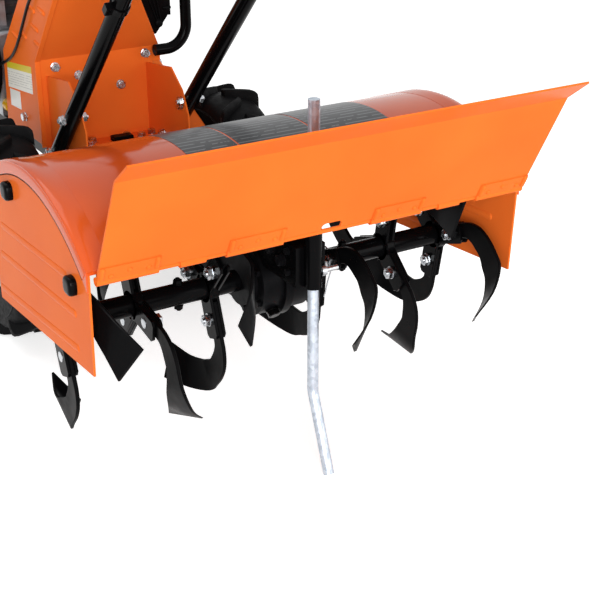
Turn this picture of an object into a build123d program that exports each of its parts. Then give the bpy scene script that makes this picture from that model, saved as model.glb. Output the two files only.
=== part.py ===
import os
from math import cos, floor, radians, sin, sqrt, tan

from build123d import *

os.makedirs("parts", exist_ok=True)

# A two-wheeled walking tiller with its rotor behind. X points to its right,
# Y forward and Z up. The origin is on the ground below the middle of the axle.

# Driving dimensions in millimetres and degrees
sheet = 3
fit_gap = 0.4
overrun = 10

wheel_radius = 205
wheel_width = 105
wheel_offset = 237
lug_height = 14
lug_width = 15
lug_sweep = 34
lug_count = 12
lug_root = 6
shoulder_drop = 12
crown_half = 30
tread_sides = 48
rim_radius = 104
rim_wall = 5
rim_disc = 6
hub_radius = 24
hub_length = 90
half_axle_radius = 12.5
half_axle_inset = 40

case_half_width = 58
case_rear = 95
case_front = 110
case_bottom = 122
case_round = 22
case_plate = 4
axle_tube_radius = 31
axle_tube_end = 160
arm_half_width = 36
arm_front_bottom = 190
arm_front_top = 306
arm_rear_half_height = 44
rotor_case_radius = 62
rotor_case_half_width = 44
rotor_boss_radius = 42
rotor_boss_end = 60
case_flange_reach = 8
case_flange_half_width = 7

bed_height = 322
bed_front = 575
bed_rear = 90
bed_step = 66
bed_rail_start = 112
bed_rail_offset = 84
bed_rail_width = 12
bed_rail_height = 44

tower_half_width = 118
tower_rear = 85
tower_bend_height = 495
tower_lean = 42
tower_top = 697
tower_foot_front = 306
tower_nose = 292
tower_nose_height = 471
tower_neck = 170
tower_neck_height = 593
tower_top_depth = 150
tower_top_right = 4
gusset_offset = 103
gusset_tip = 30
gusset_tip_height = 480
gusset_root_height = 463
gusset_corner = 76
gusset_corner_height = 446
gusset_heel = 100
gusset_heel_height = 400

handle_tube_radius = 15
handle_foot = 24
handle_foot_height = 324
handle_pitch = 45
handle_knee = 500
handle_grip_height = 985
handle_grip_behind = 1060
handle_grip_offset = 275
handle_grip_run = 175
handle_bend_radius = 110
cross_tube_radius = 11
cross_tube_share = 0.9
grip_length = 125
grip_wall = 4
clamp_length = 24
clamp_wall = 4
lever_rod_radius = 4.5
lever_drop = 46
lever_gap = 40

hood_width = 750
hood_arc_radius = 310
hood_top_behind = 545
hood_front_behind = 352
hood_front_angle = 19.5
hood_end_behind = 757
hood_end_height = 430
hood_skirt = 66
hood_rim_band = 20
side_rear_behind = 750
side_rear_height = 268
side_front_height = 235
hood_hanger_half_width = 30
hood_hanger_behind = 385
hood_hanger_length = 90

hinge_behind = 768
hinge_height = 420
hinge_rod_radius = 3.5
hinge_leaf_width = 92
hinge_leaf_height = 24
hinge_leaf_inner = 122
hinge_tab_width = 40
leaf_sheet = 2
rod_gap = 0.4
knuckle_wall = 3
flap_width = 732
flap_length = 194
flap_lean = 27.6
lip_length = 55
lip_lean = 53
notch_half_width = 17
notch_height = 20
notch_offset = 4

rotor_behind = 572
rotor_height = 275
rotor_radius = 203
rotor_case_shift = 12
rotor_shaft_radius = 11
rotor_tube_radius = 18
rotor_end = 364
sleeve_radius = 26
tine_count = 3
tine_thickness = 7
tine_width = 26
tine_side_reach = 34
socket_plate = 5
socket_width = 36
socket_start = 12
socket_end = 84

stake_radius = 9
stake_behind = 732
stake_top = 610
stake_bend_height = 133
stake_bend_angle = 21.5
stake_bend_radius = 34
stake_slot_gap = 5
holder_wall = 4
holder_bottom = 314
holder_top = 409
holder_block_half_width = 26
holder_block_height = 66
stake_pin_radius = 4
stake_pin_height = 338
stake_pin_reach = 34
stake_pin_head = 8

engine_offset = -34
crankcase_half_length = 86
engine_rear = 330
engine_front = 500
crankcase_height = 178
crankcase_round = 12
crank_rise = 124
cylinder_lean = 25
cylinder_half = 46
cylinder_start = 70
cylinder_end = 138
head_end = 172
head_half = 52
valve_cover_end = 190
valve_cover_half = 40
fin_thickness = 4
fin_pitch = 12
fin_reach = 12
fan_radius = 112
fan_depth = 50
fan_round = 14
recoil_radius = 76
recoil_depth = 24
recoil_round = 9
grille_radius = 46
grille_length = 30
grille_width = 7
grille_depth = 6
grille_count = 12
tank_rise = 240
tank_half_length = 134
tank_half_width = 92
tank_height = 102
tank_round = 26
tank_bracket = 20
tank_bracket_offset = 56
cap_radius = 30
cap_height = 20
plug_radius = 13
plug_length = 20
plug_rise = 24
plug_inset = 13
manifold_gap = 13
air_box_length = 118
air_box_depth = 92
air_box_height = 97
air_box_left = 158
air_box_round = 16
intake_radius = 18
muffler_left = 10
muffler_length = 126
muffler_depth = 78
muffler_height = 85
muffler_round = 18
exhaust_radius = 16
guard_gap = 8
guard_stud_radius = 6
guard_slot_pitch = 18
guard_slot_count = 6
guard_slot_width = 8
guard_slot_height = 26
guard_slot_rise = 44
belt_cover_inner = 139
belt_cover_outer = 175
belt_engine_radius = 90
belt_case_radius = 62
belt_round = 8
belt_case_height = 302
input_radius = 14
loop_tube_radius = 11
loop_forward = 50
loop_side = 178
loop_bottom = 494
loop_top = 680
loop_bend_radius = 45
cable_radius = 3
cable_gap = 4
cable_rise = 28
cable_lift = 19
cable_step = 30
cable_bow = 6
cable_bow_behind = 13
cable_bow_rise = 26
cable_tube_start = 21
cable_tube_end = 100
cable_inset = 10
cable_drop = 12
route_bend_share = 0.45
shift_rod_radius = 6
shift_root_side = 60
shift_root_inset = 27
shift_reach = 350
shift_top_height = 900
shift_knob_radius = 17
shift_knob_length = 42
bracket_plate = 6
bracket_bottom = 523
bracket_shoulder = 555
bracket_top = 600
bracket_inner = 60
bracket_outer = 154
bracket_width = 44

# Places worked out from the driving dimensions
axle_height = wheel_radius
carcass_radius = wheel_radius - lug_height
shoulder_radius = carcass_radius - shoulder_drop
wheel_half = wheel_width / 2
hood_half = hood_width / 2
hood_end_y = -hood_end_behind
hood_arc_height = hood_end_height - sqrt(
    hood_arc_radius**2 - (hood_end_behind - hood_top_behind) ** 2)
gear_top = bed_height - case_plate
tower_upper_rear = tower_rear - (tower_top - tower_bend_height) * tan(radians(tower_lean))
engine_middle = (engine_rear + engine_front) / 2
crank_height = bed_height + crank_rise
crankcase_top = bed_height + crankcase_height
tank_bottom = bed_height + tank_rise
handle_side = gusset_offset + sheet + handle_tube_radius
rotor_y = -rotor_behind
stake_y = -stake_behind
hinge_y = -hinge_behind
hinge_leaf_outer = (flap_width - hinge_leaf_width) / 2


def hood_point(angle, inset):
    """A point of the hood's arc, its angle measured forward from the top."""
    radius = hood_arc_radius - inset
    return (-hood_top_behind + radius * sin(radians(angle)),
            hood_arc_height + radius * cos(radians(angle)))


def hood_rear_point(inset):
    """Where the hood's arc ends at the back, on the sheet's cut edge."""
    y = hood_end_y
    radius = hood_arc_radius - inset
    return (y, hood_arc_height + sqrt(radius**2 - (y + hood_top_behind) ** 2))


def hood_front_point(inset):
    """Where the sloping front of the hood meets its skirt."""
    shoulder = hood_point(hood_front_angle, inset)
    y = -hood_front_behind - inset
    return (y, shoulder[1] - (y - shoulder[0]) * tan(radians(hood_front_angle)))


def hood_face(inset, foot, tail):
    """The hood's side view inside its sheet, closed at a foot and a tail."""
    with BuildSketch() as face:
        with BuildLine():
            ThreePointArc(hood_rear_point(inset), hood_point(0, inset),
                          hood_point(hood_front_angle, inset))
            Polyline(hood_point(hood_front_angle, inset), hood_front_point(inset),
                     (hood_front_point(inset)[0], foot), (tail, foot), hood_rear_point(inset))
        make_face()
    return face.sketch


def arm_top(y):
    """Height of the drive arm's upper side at a place along the machine."""
    share = (y + case_rear) / (rotor_y + case_rear)
    return arm_front_top + share * (rotor_height + arm_rear_half_height - arm_front_top)


def save(block, label):
    block.part.label = label
    export_step(block.part, f"parts/{label}.step")


# Drive wheels: a lugged tyre on a pressed disc rim, keyed to its half axle
for side_name, side in (("left", -1), ("right", 1)):
    centre = Vector(side * wheel_offset, 0, axle_height)
    radial_plane = Plane(origin=centre, x_dir=(1, 0, 0), z_dir=(0, 0, -1))
    axle = Axis(centre, (1, 0, 0))
    with BuildPart() as tyre:
        for half in (-1, 1):
            for reach, radius in ((0, carcass_radius), (crown_half, carcass_radius),
                                  (wheel_half, shoulder_radius)):
                with BuildSketch(Plane.YZ.offset(centre.X + half * reach)):
                    with Locations((0, axle_height)):
                        RegularPolygon(radius, tread_sides)
            loft(ruled=True)
        for hand in (-1, 1):
            for number in range(lug_count):
                turn = (number + (hand - 1) / 4) * 360 / lug_count
                outward = Vector(0, -sin(radians(turn)), -cos(radians(turn)))
                root = centre + outward * (shoulder_radius - lug_root)
                with BuildSketch(Plane(origin=root, x_dir=(hand, 0, 0), z_dir=outward)):
                    with BuildLine():
                        Polyline((-lug_root, -lug_width / 2),
                                 (wheel_half, -hand * lug_sweep - lug_width / 2),
                                 (wheel_half, -hand * lug_sweep + lug_width / 2),
                                 (-lug_root, lug_width / 2), close=True)
                    make_face()
                extrude(amount=lug_root + shoulder_drop + lug_height + overrun)
        with BuildSketch(Plane.YZ.offset(centre.X)):
            with Locations((0, axle_height)):
                RegularPolygon(wheel_radius, 2 * tread_sides)
                Circle(rim_radius, mode=Mode.SUBTRACT)
        extrude(amount=wheel_half, both=True, mode=Mode.INTERSECT)
    save(tyre, f"tyre_{side_name}")

    with BuildPart() as rim:
        with BuildSketch(radial_plane):
            with Locations((0, rim_radius - rim_wall / 2)):
                Rectangle(wheel_width - 2 * rim_wall, rim_wall)
            with Locations((0, (hub_radius + rim_radius) / 2 - rim_wall / 2)):
                Rectangle(rim_disc, rim_radius - hub_radius)
            with Locations((0, (hub_radius + half_axle_radius) / 2)):
                Rectangle(hub_length, hub_radius - half_axle_radius)
        revolve(axis=axle)
    save(rim, f"rim_{side_name}")

    with BuildPart() as half_axle:
        with BuildSketch(Plane.YZ.offset(side * half_axle_inset)):
            with Locations((0, axle_height)):
                Circle(half_axle_radius)
        extrude(amount=side * (wheel_offset + hub_length / 2 - half_axle_inset))
    save(half_axle, f"half_axle_{side_name}")

# Cast drive case: axle box, drive arm and rotor gearbox in one
with BuildPart() as gear_case:
    with BuildSketch(Plane.YZ):
        with BuildLine():
            Polyline((-case_rear, gear_top), (-case_rear, arm_front_bottom),
                     (-case_rear / 2, case_bottom), (case_front / 2, case_bottom),
                     (case_front, arm_front_bottom), (case_front, gear_top), close=True)
        make_face()
    extrude(amount=case_half_width, both=True)
    fillet(gear_case.edges().filter_by(Axis.X).group_by(Axis.Z)[0], radius=case_round)
    with BuildSketch(Plane.YZ):
        with Locations((0, axle_height)):
            Circle(axle_tube_radius)
    extrude(amount=axle_tube_end, both=True)
    with BuildSketch(Plane.YZ):
        with BuildLine():
            Polyline((-case_rear, arm_front_bottom), (-case_rear, arm_front_top),
                     (rotor_y, rotor_height + arm_rear_half_height),
                     (rotor_y, rotor_height - arm_rear_half_height), close=True)
        make_face()
    extrude(amount=arm_half_width, both=True)
    for radius, low, high in (
            (rotor_case_radius, -rotor_case_half_width, rotor_case_half_width),
            (rotor_case_radius + case_flange_reach, -case_flange_half_width,
             case_flange_half_width),
            (rotor_boss_radius, -rotor_boss_end, rotor_boss_end)):
        with BuildSketch(Plane.YZ.offset(rotor_case_shift + low)):
            with Locations((rotor_y, rotor_height)):
                Circle(radius)
        extrude(amount=high - low)
    with BuildSketch(Plane.YZ.offset(case_half_width)):
        with Locations((0, belt_case_height)):
            Circle(input_radius)
    extrude(amount=belt_cover_inner - case_half_width)
    with BuildSketch(Plane.YZ):
        with Locations((0, axle_height)):
            Circle(half_axle_radius + fit_gap)
        with Locations((rotor_y, rotor_height)):
            Circle(rotor_shaft_radius + fit_gap)
    extrude(amount=hood_half, both=True, mode=Mode.SUBTRACT)
save(gear_case, "gear_case")

# Engine bed: a plate on two channel rails, bolted to the top of the case
with BuildPart() as engine_bed:
    with BuildSketch(Plane.XY.offset(gear_top)):
        with BuildLine():
            Polyline((-gusset_offset, -bed_rear), (gusset_offset, -bed_rear),
                     (gusset_offset, bed_step), (tower_half_width, bed_step),
                     (tower_half_width, bed_front), (-tower_half_width, bed_front),
                     (-tower_half_width, bed_step), (-gusset_offset, bed_step), close=True)
        make_face()
    extrude(amount=case_plate)
    with BuildSketch(Plane.XY.offset(gear_top)):
        with Locations((-bed_rail_offset, (bed_rail_start + bed_front) / 2),
                       (bed_rail_offset, (bed_rail_start + bed_front) / 2)):
            Rectangle(bed_rail_width, bed_front - bed_rail_start)
    extrude(amount=-bed_rail_height)
save(engine_bed, "engine_bed")

# Belt tower: folded sheet with a leaning upper part and two gusset plates
with BuildPart() as tower_form:
    with BuildSketch(Plane.YZ):
        with BuildLine():
            Polyline((tower_rear, bed_height), (tower_rear, tower_bend_height),
                     (tower_upper_rear, tower_top),
                     (tower_upper_rear + tower_top_depth, tower_top),
                     (tower_neck, tower_neck_height), (tower_nose, tower_nose_height),
                     (tower_foot_front, bed_height), close=True)
        make_face()
    extrude(amount=tower_half_width, both=True)
    with BuildSketch(Plane.XZ):
        with BuildLine():
            Polyline((tower_half_width, tower_bend_height),
                     (tower_half_width + overrun, tower_bend_height),
                     (tower_half_width + overrun, tower_top + overrun),
                     (tower_top_right, tower_top + overrun),
                     (tower_top_right, tower_top), close=True)
        make_face()
    extrude(amount=tower_foot_front + overrun, both=True, mode=Mode.SUBTRACT)

with BuildPart() as tower:
    add(tower_form.part)
    offset(amount=-sheet, openings=tower.faces().sort_by(Axis.Z)[0])
    for side in (-1, 1):
        with BuildSketch(Plane.YZ.offset(side * gusset_offset)):
            with BuildLine():
                Polyline((tower_rear, bed_height), (tower_rear, gusset_root_height),
                         (-gusset_tip, gusset_tip_height),
                         (-gusset_corner, gusset_corner_height),
                         (-gusset_heel, gusset_heel_height),
                         (-gusset_heel, bed_height), close=True)
            make_face()
        extrude(amount=side * sheet)
save(tower, "belt_tower")

# Handlebar: two tubes joined by a cross tube, bolted outside the gussets
knee_height = handle_foot_height + (handle_foot + handle_knee) * tan(radians(handle_pitch))
cross_y = handle_foot - cross_tube_share * (handle_foot + handle_knee)
cross_height = handle_foot_height + cross_tube_share * (knee_height - handle_foot_height)
grip_y = -handle_grip_behind - handle_grip_run
with BuildPart() as handlebar:
    for side in (-1, 1):
        with BuildLine() as tube_path:
            FilletPolyline((side * handle_side, handle_foot, handle_foot_height),
                           (side * handle_side, -handle_knee, knee_height),
                           (side * handle_grip_offset, -handle_grip_behind, handle_grip_height),
                           (side * handle_grip_offset, grip_y, handle_grip_height),
                           radius=handle_bend_radius)
        with BuildSketch(Plane(origin=tube_path.line @ 0, z_dir=tube_path.line % 0)):
            Circle(handle_tube_radius)
        sweep(path=tube_path.line)
    with BuildSketch(Plane.YZ):
        with Locations((cross_y, cross_height)):
            Circle(cross_tube_radius)
    extrude(amount=handle_side, both=True)
save(handlebar, "handlebar")

for side_name, side in (("left", -1), ("right", 1)):
    grip_x = side * handle_grip_offset
    with BuildPart() as grip:
        with BuildSketch(Plane.XZ.offset(-grip_y + grip_wall)):
            with Locations((grip_x, handle_grip_height)):
                Circle(handle_tube_radius + grip_wall)
        extrude(amount=-grip_length)
        with BuildSketch(Plane.XZ.offset(-grip_y)):
            with Locations((grip_x, handle_grip_height)):
                Circle(handle_tube_radius)
        extrude(amount=-grip_length, mode=Mode.SUBTRACT)
    save(grip, f"grip_{side_name}")

    clamp_y = grip_y + grip_length
    with BuildPart() as lever:
        with BuildSketch(Plane.XZ.offset(-clamp_y)):
            with Locations((grip_x, handle_grip_height)):
                Circle(handle_tube_radius + clamp_wall)
                Circle(handle_tube_radius, mode=Mode.SUBTRACT)
        extrude(amount=-clamp_length)
        rod_top = handle_grip_height - handle_tube_radius - clamp_wall / 2
        rod_low = handle_grip_height - lever_drop
        rod_y = clamp_y + clamp_length / 2
        with BuildLine() as rod_path:
            FilletPolyline((grip_x, rod_y, rod_top), (grip_x, rod_y, rod_low),
                           (grip_x, grip_y + lever_gap, rod_low), radius=clamp_length / 2)
        with BuildSketch(Plane(origin=rod_path.line @ 0, z_dir=rod_path.line % 0)):
            Circle(lever_rod_radius)
        sweep(path=rod_path.line)
    save(lever, f"clutch_lever_{side_name}")

# Tiller hood: rolled sheet over the rotor, with end bands and side plates
with BuildPart() as hood_shell:
    shell_foot = hood_front_point(0)[1] - hood_skirt
    with BuildSketch(Plane.YZ):
        add(hood_face(0, shell_foot, hood_end_y))
    extrude(amount=hood_half, both=True)
    with BuildSketch(Plane.YZ):
        add(hood_face(sheet, shell_foot - overrun, hood_end_y - overrun))
    extrude(amount=hood_half - sheet, both=True, mode=Mode.SUBTRACT)
    with BuildSketch(Plane.YZ):
        add(hood_face(hood_rim_band, shell_foot - overrun, hood_end_y - overrun))
    extrude(amount=hood_half + overrun, both=True, mode=Mode.SUBTRACT)
    with BuildSketch(Plane.XY.offset(hood_end_height)):
        with Locations((0, stake_y)):
            Circle(stake_radius + stake_slot_gap)
    extrude(amount=hood_arc_radius / 2, mode=Mode.SUBTRACT)
save(hood_shell, "hood_shell")

for side_name, side in (("left", -1), ("right", 1)):
    with BuildPart() as side_plate:
        with BuildSketch(Plane.YZ.offset(side * (hood_half - sheet))):
            add(hood_face(sheet, side_front_height, hood_end_y))
            with BuildLine():
                Polyline((hood_front_point(sheet)[0], side_front_height),
                         (-side_rear_behind, side_rear_height),
                         (hood_end_y, hinge_height), (hood_end_y - overrun, hinge_height),
                         (hood_end_y - overrun, side_front_height - overrun),
                         (hood_front_point(sheet)[0], side_front_height - overrun),
                         close=True)
            make_face(mode=Mode.SUBTRACT)
        extrude(amount=-side * sheet)
    save(side_plate, f"hood_side_{side_name}")

with BuildPart() as hood_hanger:
    hanger_front = -hood_hanger_behind
    hanger_rear = hanger_front - hood_hanger_length
    with BuildSketch(Plane.YZ):
        add(hood_face(sheet, arm_front_bottom, hood_end_y))
        with BuildLine():
            Polyline((hanger_front, arm_top(hanger_front)), (hanger_rear, arm_top(hanger_rear)),
                     (hanger_rear, hood_end_height + hood_arc_radius),
                     (hanger_front, hood_end_height + hood_arc_radius), close=True)
        make_face(mode=Mode.INTERSECT)
    extrude(amount=hood_hanger_half_width, both=True)
save(hood_hanger, "hood_hanger")

# Hinge rod of the flap, held by two tabs on the back edge of the hood
leaf_places = (-hinge_leaf_outer, -hinge_leaf_inner, hinge_leaf_inner, hinge_leaf_outer)
knuckle_radius = hinge_rod_radius + knuckle_wall
with BuildPart() as hinge_rod:
    with BuildSketch(Plane.YZ):
        with Locations((hinge_y, hinge_height)):
            Circle(hinge_rod_radius)
    extrude(amount=flap_width / 2, both=True)
    for side in (-1, 1):
        place = side * (hinge_leaf_outer + hinge_leaf_inner) / 2
        with BuildSketch(Plane.YZ.offset(place)):
            with Locations((hinge_y, hinge_height)):
                Circle(knuckle_radius)
            with BuildLine():
                Polyline((hinge_y, hinge_height), (hood_end_y, hinge_height),
                         (hood_end_y, hood_end_height), (hinge_y, hinge_height + knuckle_radius),
                         close=True)
            make_face()
        extrude(amount=hinge_tab_width / 2, both=True)
save(hinge_rod, "hinge_rod")

# Rear flap, shown raised: a panel with a folded lip and four hinge leaves
def flap_plane(y, z, lean):
    """A plane whose Y runs up the flap and whose Z points to its back."""
    return Plane(origin=(0, y, z), x_dir=(1, 0, 0),
                 z_dir=(0, -cos(radians(lean)), -sin(radians(lean))))


fold_y = hinge_y - flap_length * sin(radians(flap_lean))
fold_height = hinge_height + flap_length * cos(radians(flap_lean))
panel_plane = flap_plane(hinge_y, hinge_height, flap_lean)
with BuildPart() as rear_flap:
    with BuildSketch(panel_plane):
        with Locations((0, (flap_length + knuckle_radius) / 2)):
            Rectangle(flap_width, flap_length - knuckle_radius)
    extrude(amount=sheet)
    with BuildSketch(flap_plane(fold_y, fold_height, lip_lean)):
        with Locations((0, lip_length / 2)):
            Rectangle(flap_width, lip_length)
    extrude(amount=sheet)
    with BuildSketch(panel_plane):
        with Locations([(place, (hinge_leaf_height + knuckle_radius) / 2)
                        for place in leaf_places]):
            Rectangle(hinge_leaf_width, hinge_leaf_height + knuckle_radius)
    extrude(amount=sheet + leaf_sheet)
    for place in leaf_places:
        with BuildSketch(Plane.YZ.offset(place)):
            with Locations((hinge_y, hinge_height)):
                Circle(knuckle_radius)
        extrude(amount=hinge_leaf_width / 2, both=True)
    with BuildSketch(Plane.YZ):
        with Locations((hinge_y, hinge_height)):
            Circle(hinge_rod_radius + rod_gap)
    extrude(amount=flap_width, both=True, mode=Mode.SUBTRACT)
    with BuildSketch(panel_plane):
        with Locations((notch_offset, notch_height / 2)):
            RectangleRounded(2 * notch_half_width, notch_height, notch_height / 2 - sheet)
        with Locations((notch_offset, notch_height / 4)):
            Rectangle(2 * notch_half_width, notch_height / 2)
    extrude(amount=sheet + overrun, both=True, mode=Mode.SUBTRACT)
save(rear_flap, "rear_flap")

# Tine rotor: a through shaft, and on each side a tube with bolted tine sockets
with BuildPart() as rotor_shaft:
    with BuildSketch(Plane.YZ):
        with Locations((rotor_y, rotor_height)):
            Circle(rotor_shaft_radius)
    extrude(amount=rotor_end, both=True)
save(rotor_shaft, "rotor_shaft")

# Sections of one tine. Columns: shares of the rotor's radius outward and
# trailing, turn of the section, share of its width, of its side reach, twist
tine_section_shares = (
    (0.120, -0.020, 0, 1.00, 0.00, 0),
    (0.414, -0.020, 0, 1.00, 0.00, 0),
    (0.515, -0.005, 14, 1.20, 0.00, 0),
    (0.606, 0.054, 25, 1.60, 0.00, 0),
    (0.675, 0.133, 47, 1.65, 0.00, 0),
    (0.714, 0.241, 59, 1.90, 0.00, 0),
    (0.744, 0.355, 65, 2.20, 0.05, -5),
    (0.712, 0.532, 70, 2.25, 0.41, -16),
    (0.606, 0.704, 71.6, 2.50, 1.00, -29),
)


def tine(hand):
    """One tine in its socket, pointing back along -Y and bent to one side."""
    with BuildPart() as blade:
        for outward, trail, turn, width, aside, twist in tine_section_shares:
            travel = Vector(0, -cos(radians(turn)), -sin(radians(turn)))
            across = Vector(0, sin(radians(turn)), -cos(radians(turn)))
            broad = across * cos(radians(twist)) + Vector(hand, 0, 0) * sin(radians(twist))
            place = Vector(hand * aside * tine_side_reach,
                           -outward * rotor_radius, -trail * rotor_radius)
            with BuildSketch(Plane(origin=place, x_dir=broad, z_dir=travel)):
                Rectangle(tine_width * width, tine_thickness)
        loft(ruled=True)
        for side in (-1, 1):
            with BuildSketch(Plane.YZ.offset(side * tine_thickness / 2)):
                with Locations((-(socket_start + socket_end) / 2, 0)):
                    Rectangle(socket_end - socket_start, socket_width)
            extrude(amount=side * socket_plate)
    return blade.part


tines = {hand: tine(hand) for hand in (-1, 1)}

# Tine groups. Columns: side, distance from the middle, turn of the first tine,
# and the way its tines bend, where 1 is outward
tine_groups = (
    (-1, 101, 70, 1),
    (-1, 229, 10, -1),
    (-1, 354, 70, -1),
    (1, 105, -24, -1),
    (1, 238, 40, 1),
    (1, 350, -20, -1),
)
for side_name, side in (("left", -1), ("right", 1)):
    tube_start = side * (rotor_boss_end + side * rotor_case_shift + rod_gap)
    with BuildPart() as tine_set:
        with BuildSketch(Plane.YZ.offset(tube_start)):
            with Locations((rotor_y, rotor_height)):
                Circle(rotor_tube_radius)
        extrude(amount=side * rotor_end - tube_start)
        for group_side, distance, start, bend in tine_groups:
            if group_side == side:
                middle = Vector(side * distance, rotor_y, rotor_height)
                with BuildSketch(Plane(origin=middle, x_dir=(0, 1, 0), z_dir=(1, 0, 0))):
                    Circle(sleeve_radius)
                extrude(amount=socket_plate + tine_thickness / 2, both=True)
                for number in range(tine_count):
                    turn = start + number * 360 / tine_count
                    add(tines[side * bend].moved(Location(middle, (turn, 0, 0))))
        with BuildSketch(Plane.YZ.offset(tube_start)):
            with Locations((rotor_y, rotor_height)):
                Circle(rotor_shaft_radius)
        extrude(amount=side * rotor_end - tube_start, mode=Mode.SUBTRACT)
    save(tine_set, f"rotor_{side_name}")

# Depth stake: a bent galvanised bar that slides in a holder on the rotor case
stake_drop = stake_bend_height - stake_radius * sin(radians(stake_bend_angle))
with BuildPart() as depth_stake:
    with BuildLine() as stake_path:
        FilletPolyline((0, stake_y, stake_top), (0, stake_y, stake_bend_height),
                       (0, stake_y - stake_drop * tan(radians(stake_bend_angle)),
                        stake_bend_height - stake_drop), radius=stake_bend_radius)
    with BuildSketch(Plane(origin=stake_path.line @ 0, z_dir=stake_path.line % 0)):
        Circle(stake_radius)
    sweep(path=stake_path.line)
save(depth_stake, "depth_stake")

holder_half = stake_radius + fit_gap + holder_wall
holder_block_rear = stake_y + stake_pin_head + fit_gap
with BuildPart() as stake_holder:
    with BuildSketch(Plane.XY.offset(holder_bottom)):
        with Locations((0, stake_y)):
            Circle(holder_half)
    extrude(amount=holder_top - holder_bottom)
    with BuildSketch(Plane.XY.offset(holder_bottom)):
        with Locations((0, (holder_block_rear + rotor_y) / 2)):
            Rectangle(2 * holder_block_half_width, rotor_y - holder_block_rear)
    extrude(amount=holder_block_height)
    with BuildSketch(Plane.YZ):
        with Locations((rotor_y, rotor_height)):
            Circle(rotor_case_radius)
    extrude(amount=holder_block_half_width, both=True, mode=Mode.SUBTRACT)
    with BuildSketch(Plane.YZ.offset(rotor_case_shift)):
        with Locations((rotor_y, rotor_height)):
            Circle(rotor_case_radius + case_flange_reach)
    extrude(amount=case_flange_half_width, both=True, mode=Mode.SUBTRACT)
    with BuildSketch(Plane.XY.offset(holder_bottom)):
        with Locations((0, stake_y)):
            Circle(stake_radius + fit_gap)
    extrude(amount=holder_top - holder_bottom, mode=Mode.SUBTRACT)
    with BuildSketch(Plane.YZ):
        with Locations((stake_y, stake_pin_height)):
            Circle(stake_pin_radius)
    extrude(amount=holder_half, mode=Mode.SUBTRACT)
save(stake_holder, "stake_holder")

with BuildPart() as stake_pin:
    for radius, start, length in ((stake_pin_radius, stake_radius + fit_gap, stake_pin_reach),
                                  (stake_pin_head, holder_half, stake_pin_head)):
        with BuildSketch(Plane.YZ.offset(start)):
            with Locations((stake_y, stake_pin_height)):
                Circle(radius)
        extrude(amount=length)
save(stake_pin, "stake_pin")

# Engine: crankcase and a cylinder that leans forward, with its fins and head
cylinder_plane = Plane(origin=(engine_offset, engine_middle, crank_height), x_dir=(1, 0, 0),
                       z_dir=(0, cos(radians(cylinder_lean)), sin(radians(cylinder_lean))))
with BuildPart() as engine_block:
    with BuildSketch(Plane.XY.offset(bed_height)):
        with Locations((engine_offset, engine_middle)):
            Rectangle(2 * crankcase_half_length, engine_front - engine_rear)
    extrude(amount=crankcase_height)
    fillet(engine_block.edges().filter_by(Axis.X).group_by(Axis.Z)[-1], radius=crankcase_round)
    with BuildSketch(cylinder_plane.offset(cylinder_start)):
        RectangleRounded(2 * cylinder_half, 2 * cylinder_half, crankcase_round)
    extrude(amount=head_end - cylinder_start)
    fin_total = floor((cylinder_end - cylinder_start) / fin_pitch)
    for number in range(fin_total):
        with BuildSketch(cylinder_plane.offset(cylinder_end - (number + 1) * fin_pitch)):
            RectangleRounded(2 * (cylinder_half + fin_reach), 2 * (cylinder_half + fin_reach),
                             crankcase_round)
        extrude(amount=fin_thickness)
    with BuildSketch(cylinder_plane.offset(cylinder_end)):
        RectangleRounded(2 * head_half, 2 * head_half, crankcase_round)
    extrude(amount=head_end - cylinder_end)
    for side in (-1, 1):
        with BuildSketch(Plane.XY.offset(crankcase_top)):
            with Locations((engine_offset + side * tank_bracket_offset, engine_middle)):
                Rectangle(tank_bracket, tank_half_width)
        extrude(amount=tank_rise - crankcase_height)
    with BuildSketch(Plane.YZ.offset(engine_offset + crankcase_half_length)):
        with Locations((engine_middle, crank_height)):
            Circle(input_radius)
    extrude(amount=belt_cover_inner - engine_offset - crankcase_half_length)
save(engine_block, "engine_block")

with BuildPart() as valve_cover:
    with BuildSketch(cylinder_plane.offset(head_end)):
        RectangleRounded(2 * valve_cover_half, 2 * valve_cover_half, crankcase_round)
    extrude(amount=valve_cover_end - head_end)
    cover_face = valve_cover.faces().sort_by(Axis(cylinder_plane.origin, cylinder_plane.z_dir))[-1]
    fillet(cover_face.edges(), radius=recoil_round)
save(valve_cover, "valve_cover")

fan_plane = Plane(origin=(engine_offset - crankcase_half_length, engine_middle, crank_height),
                  x_dir=(0, -1, 0), z_dir=(-1, 0, 0))
with BuildPart() as fan_housing:
    with BuildSketch(fan_plane):
        Circle(fan_radius)
    extrude(amount=fan_depth)
    fillet(fan_housing.faces().sort_by(Axis.X)[0].edges(), radius=fan_round)
    with BuildSketch(fan_plane.offset(fan_depth)):
        Circle(recoil_radius)
    extrude(amount=recoil_depth)
    fillet(fan_housing.faces().sort_by(Axis.X)[0].edges(), radius=recoil_round)
    with BuildSketch(fan_plane.offset(fan_depth + recoil_depth)):
        with PolarLocations(grille_radius, grille_count):
            Rectangle(grille_length, grille_width)
    extrude(amount=-grille_depth, mode=Mode.SUBTRACT)
save(fan_housing, "fan_housing")

with BuildPart() as fuel_tank:
    with BuildSketch(Plane.XY.offset(tank_bottom)):
        with Locations((engine_offset, engine_middle)):
            RectangleRounded(2 * tank_half_length, 2 * tank_half_width, tank_round)
    extrude(amount=tank_height)
    fillet(fuel_tank.faces().sort_by(Axis.Z)[-1].edges(), radius=tank_round - sheet)
save(fuel_tank, "fuel_tank")

with BuildPart() as fuel_cap:
    with BuildSketch(Plane.XY.offset(tank_bottom + tank_height)):
        with Locations((engine_offset - tank_bracket_offset, engine_middle)):
            Circle(cap_radius)
    extrude(amount=cap_height)
    fillet(fuel_cap.faces().sort_by(Axis.Z)[-1].edges(), radius=cap_height / 4)
save(fuel_cap, "fuel_cap")

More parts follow.
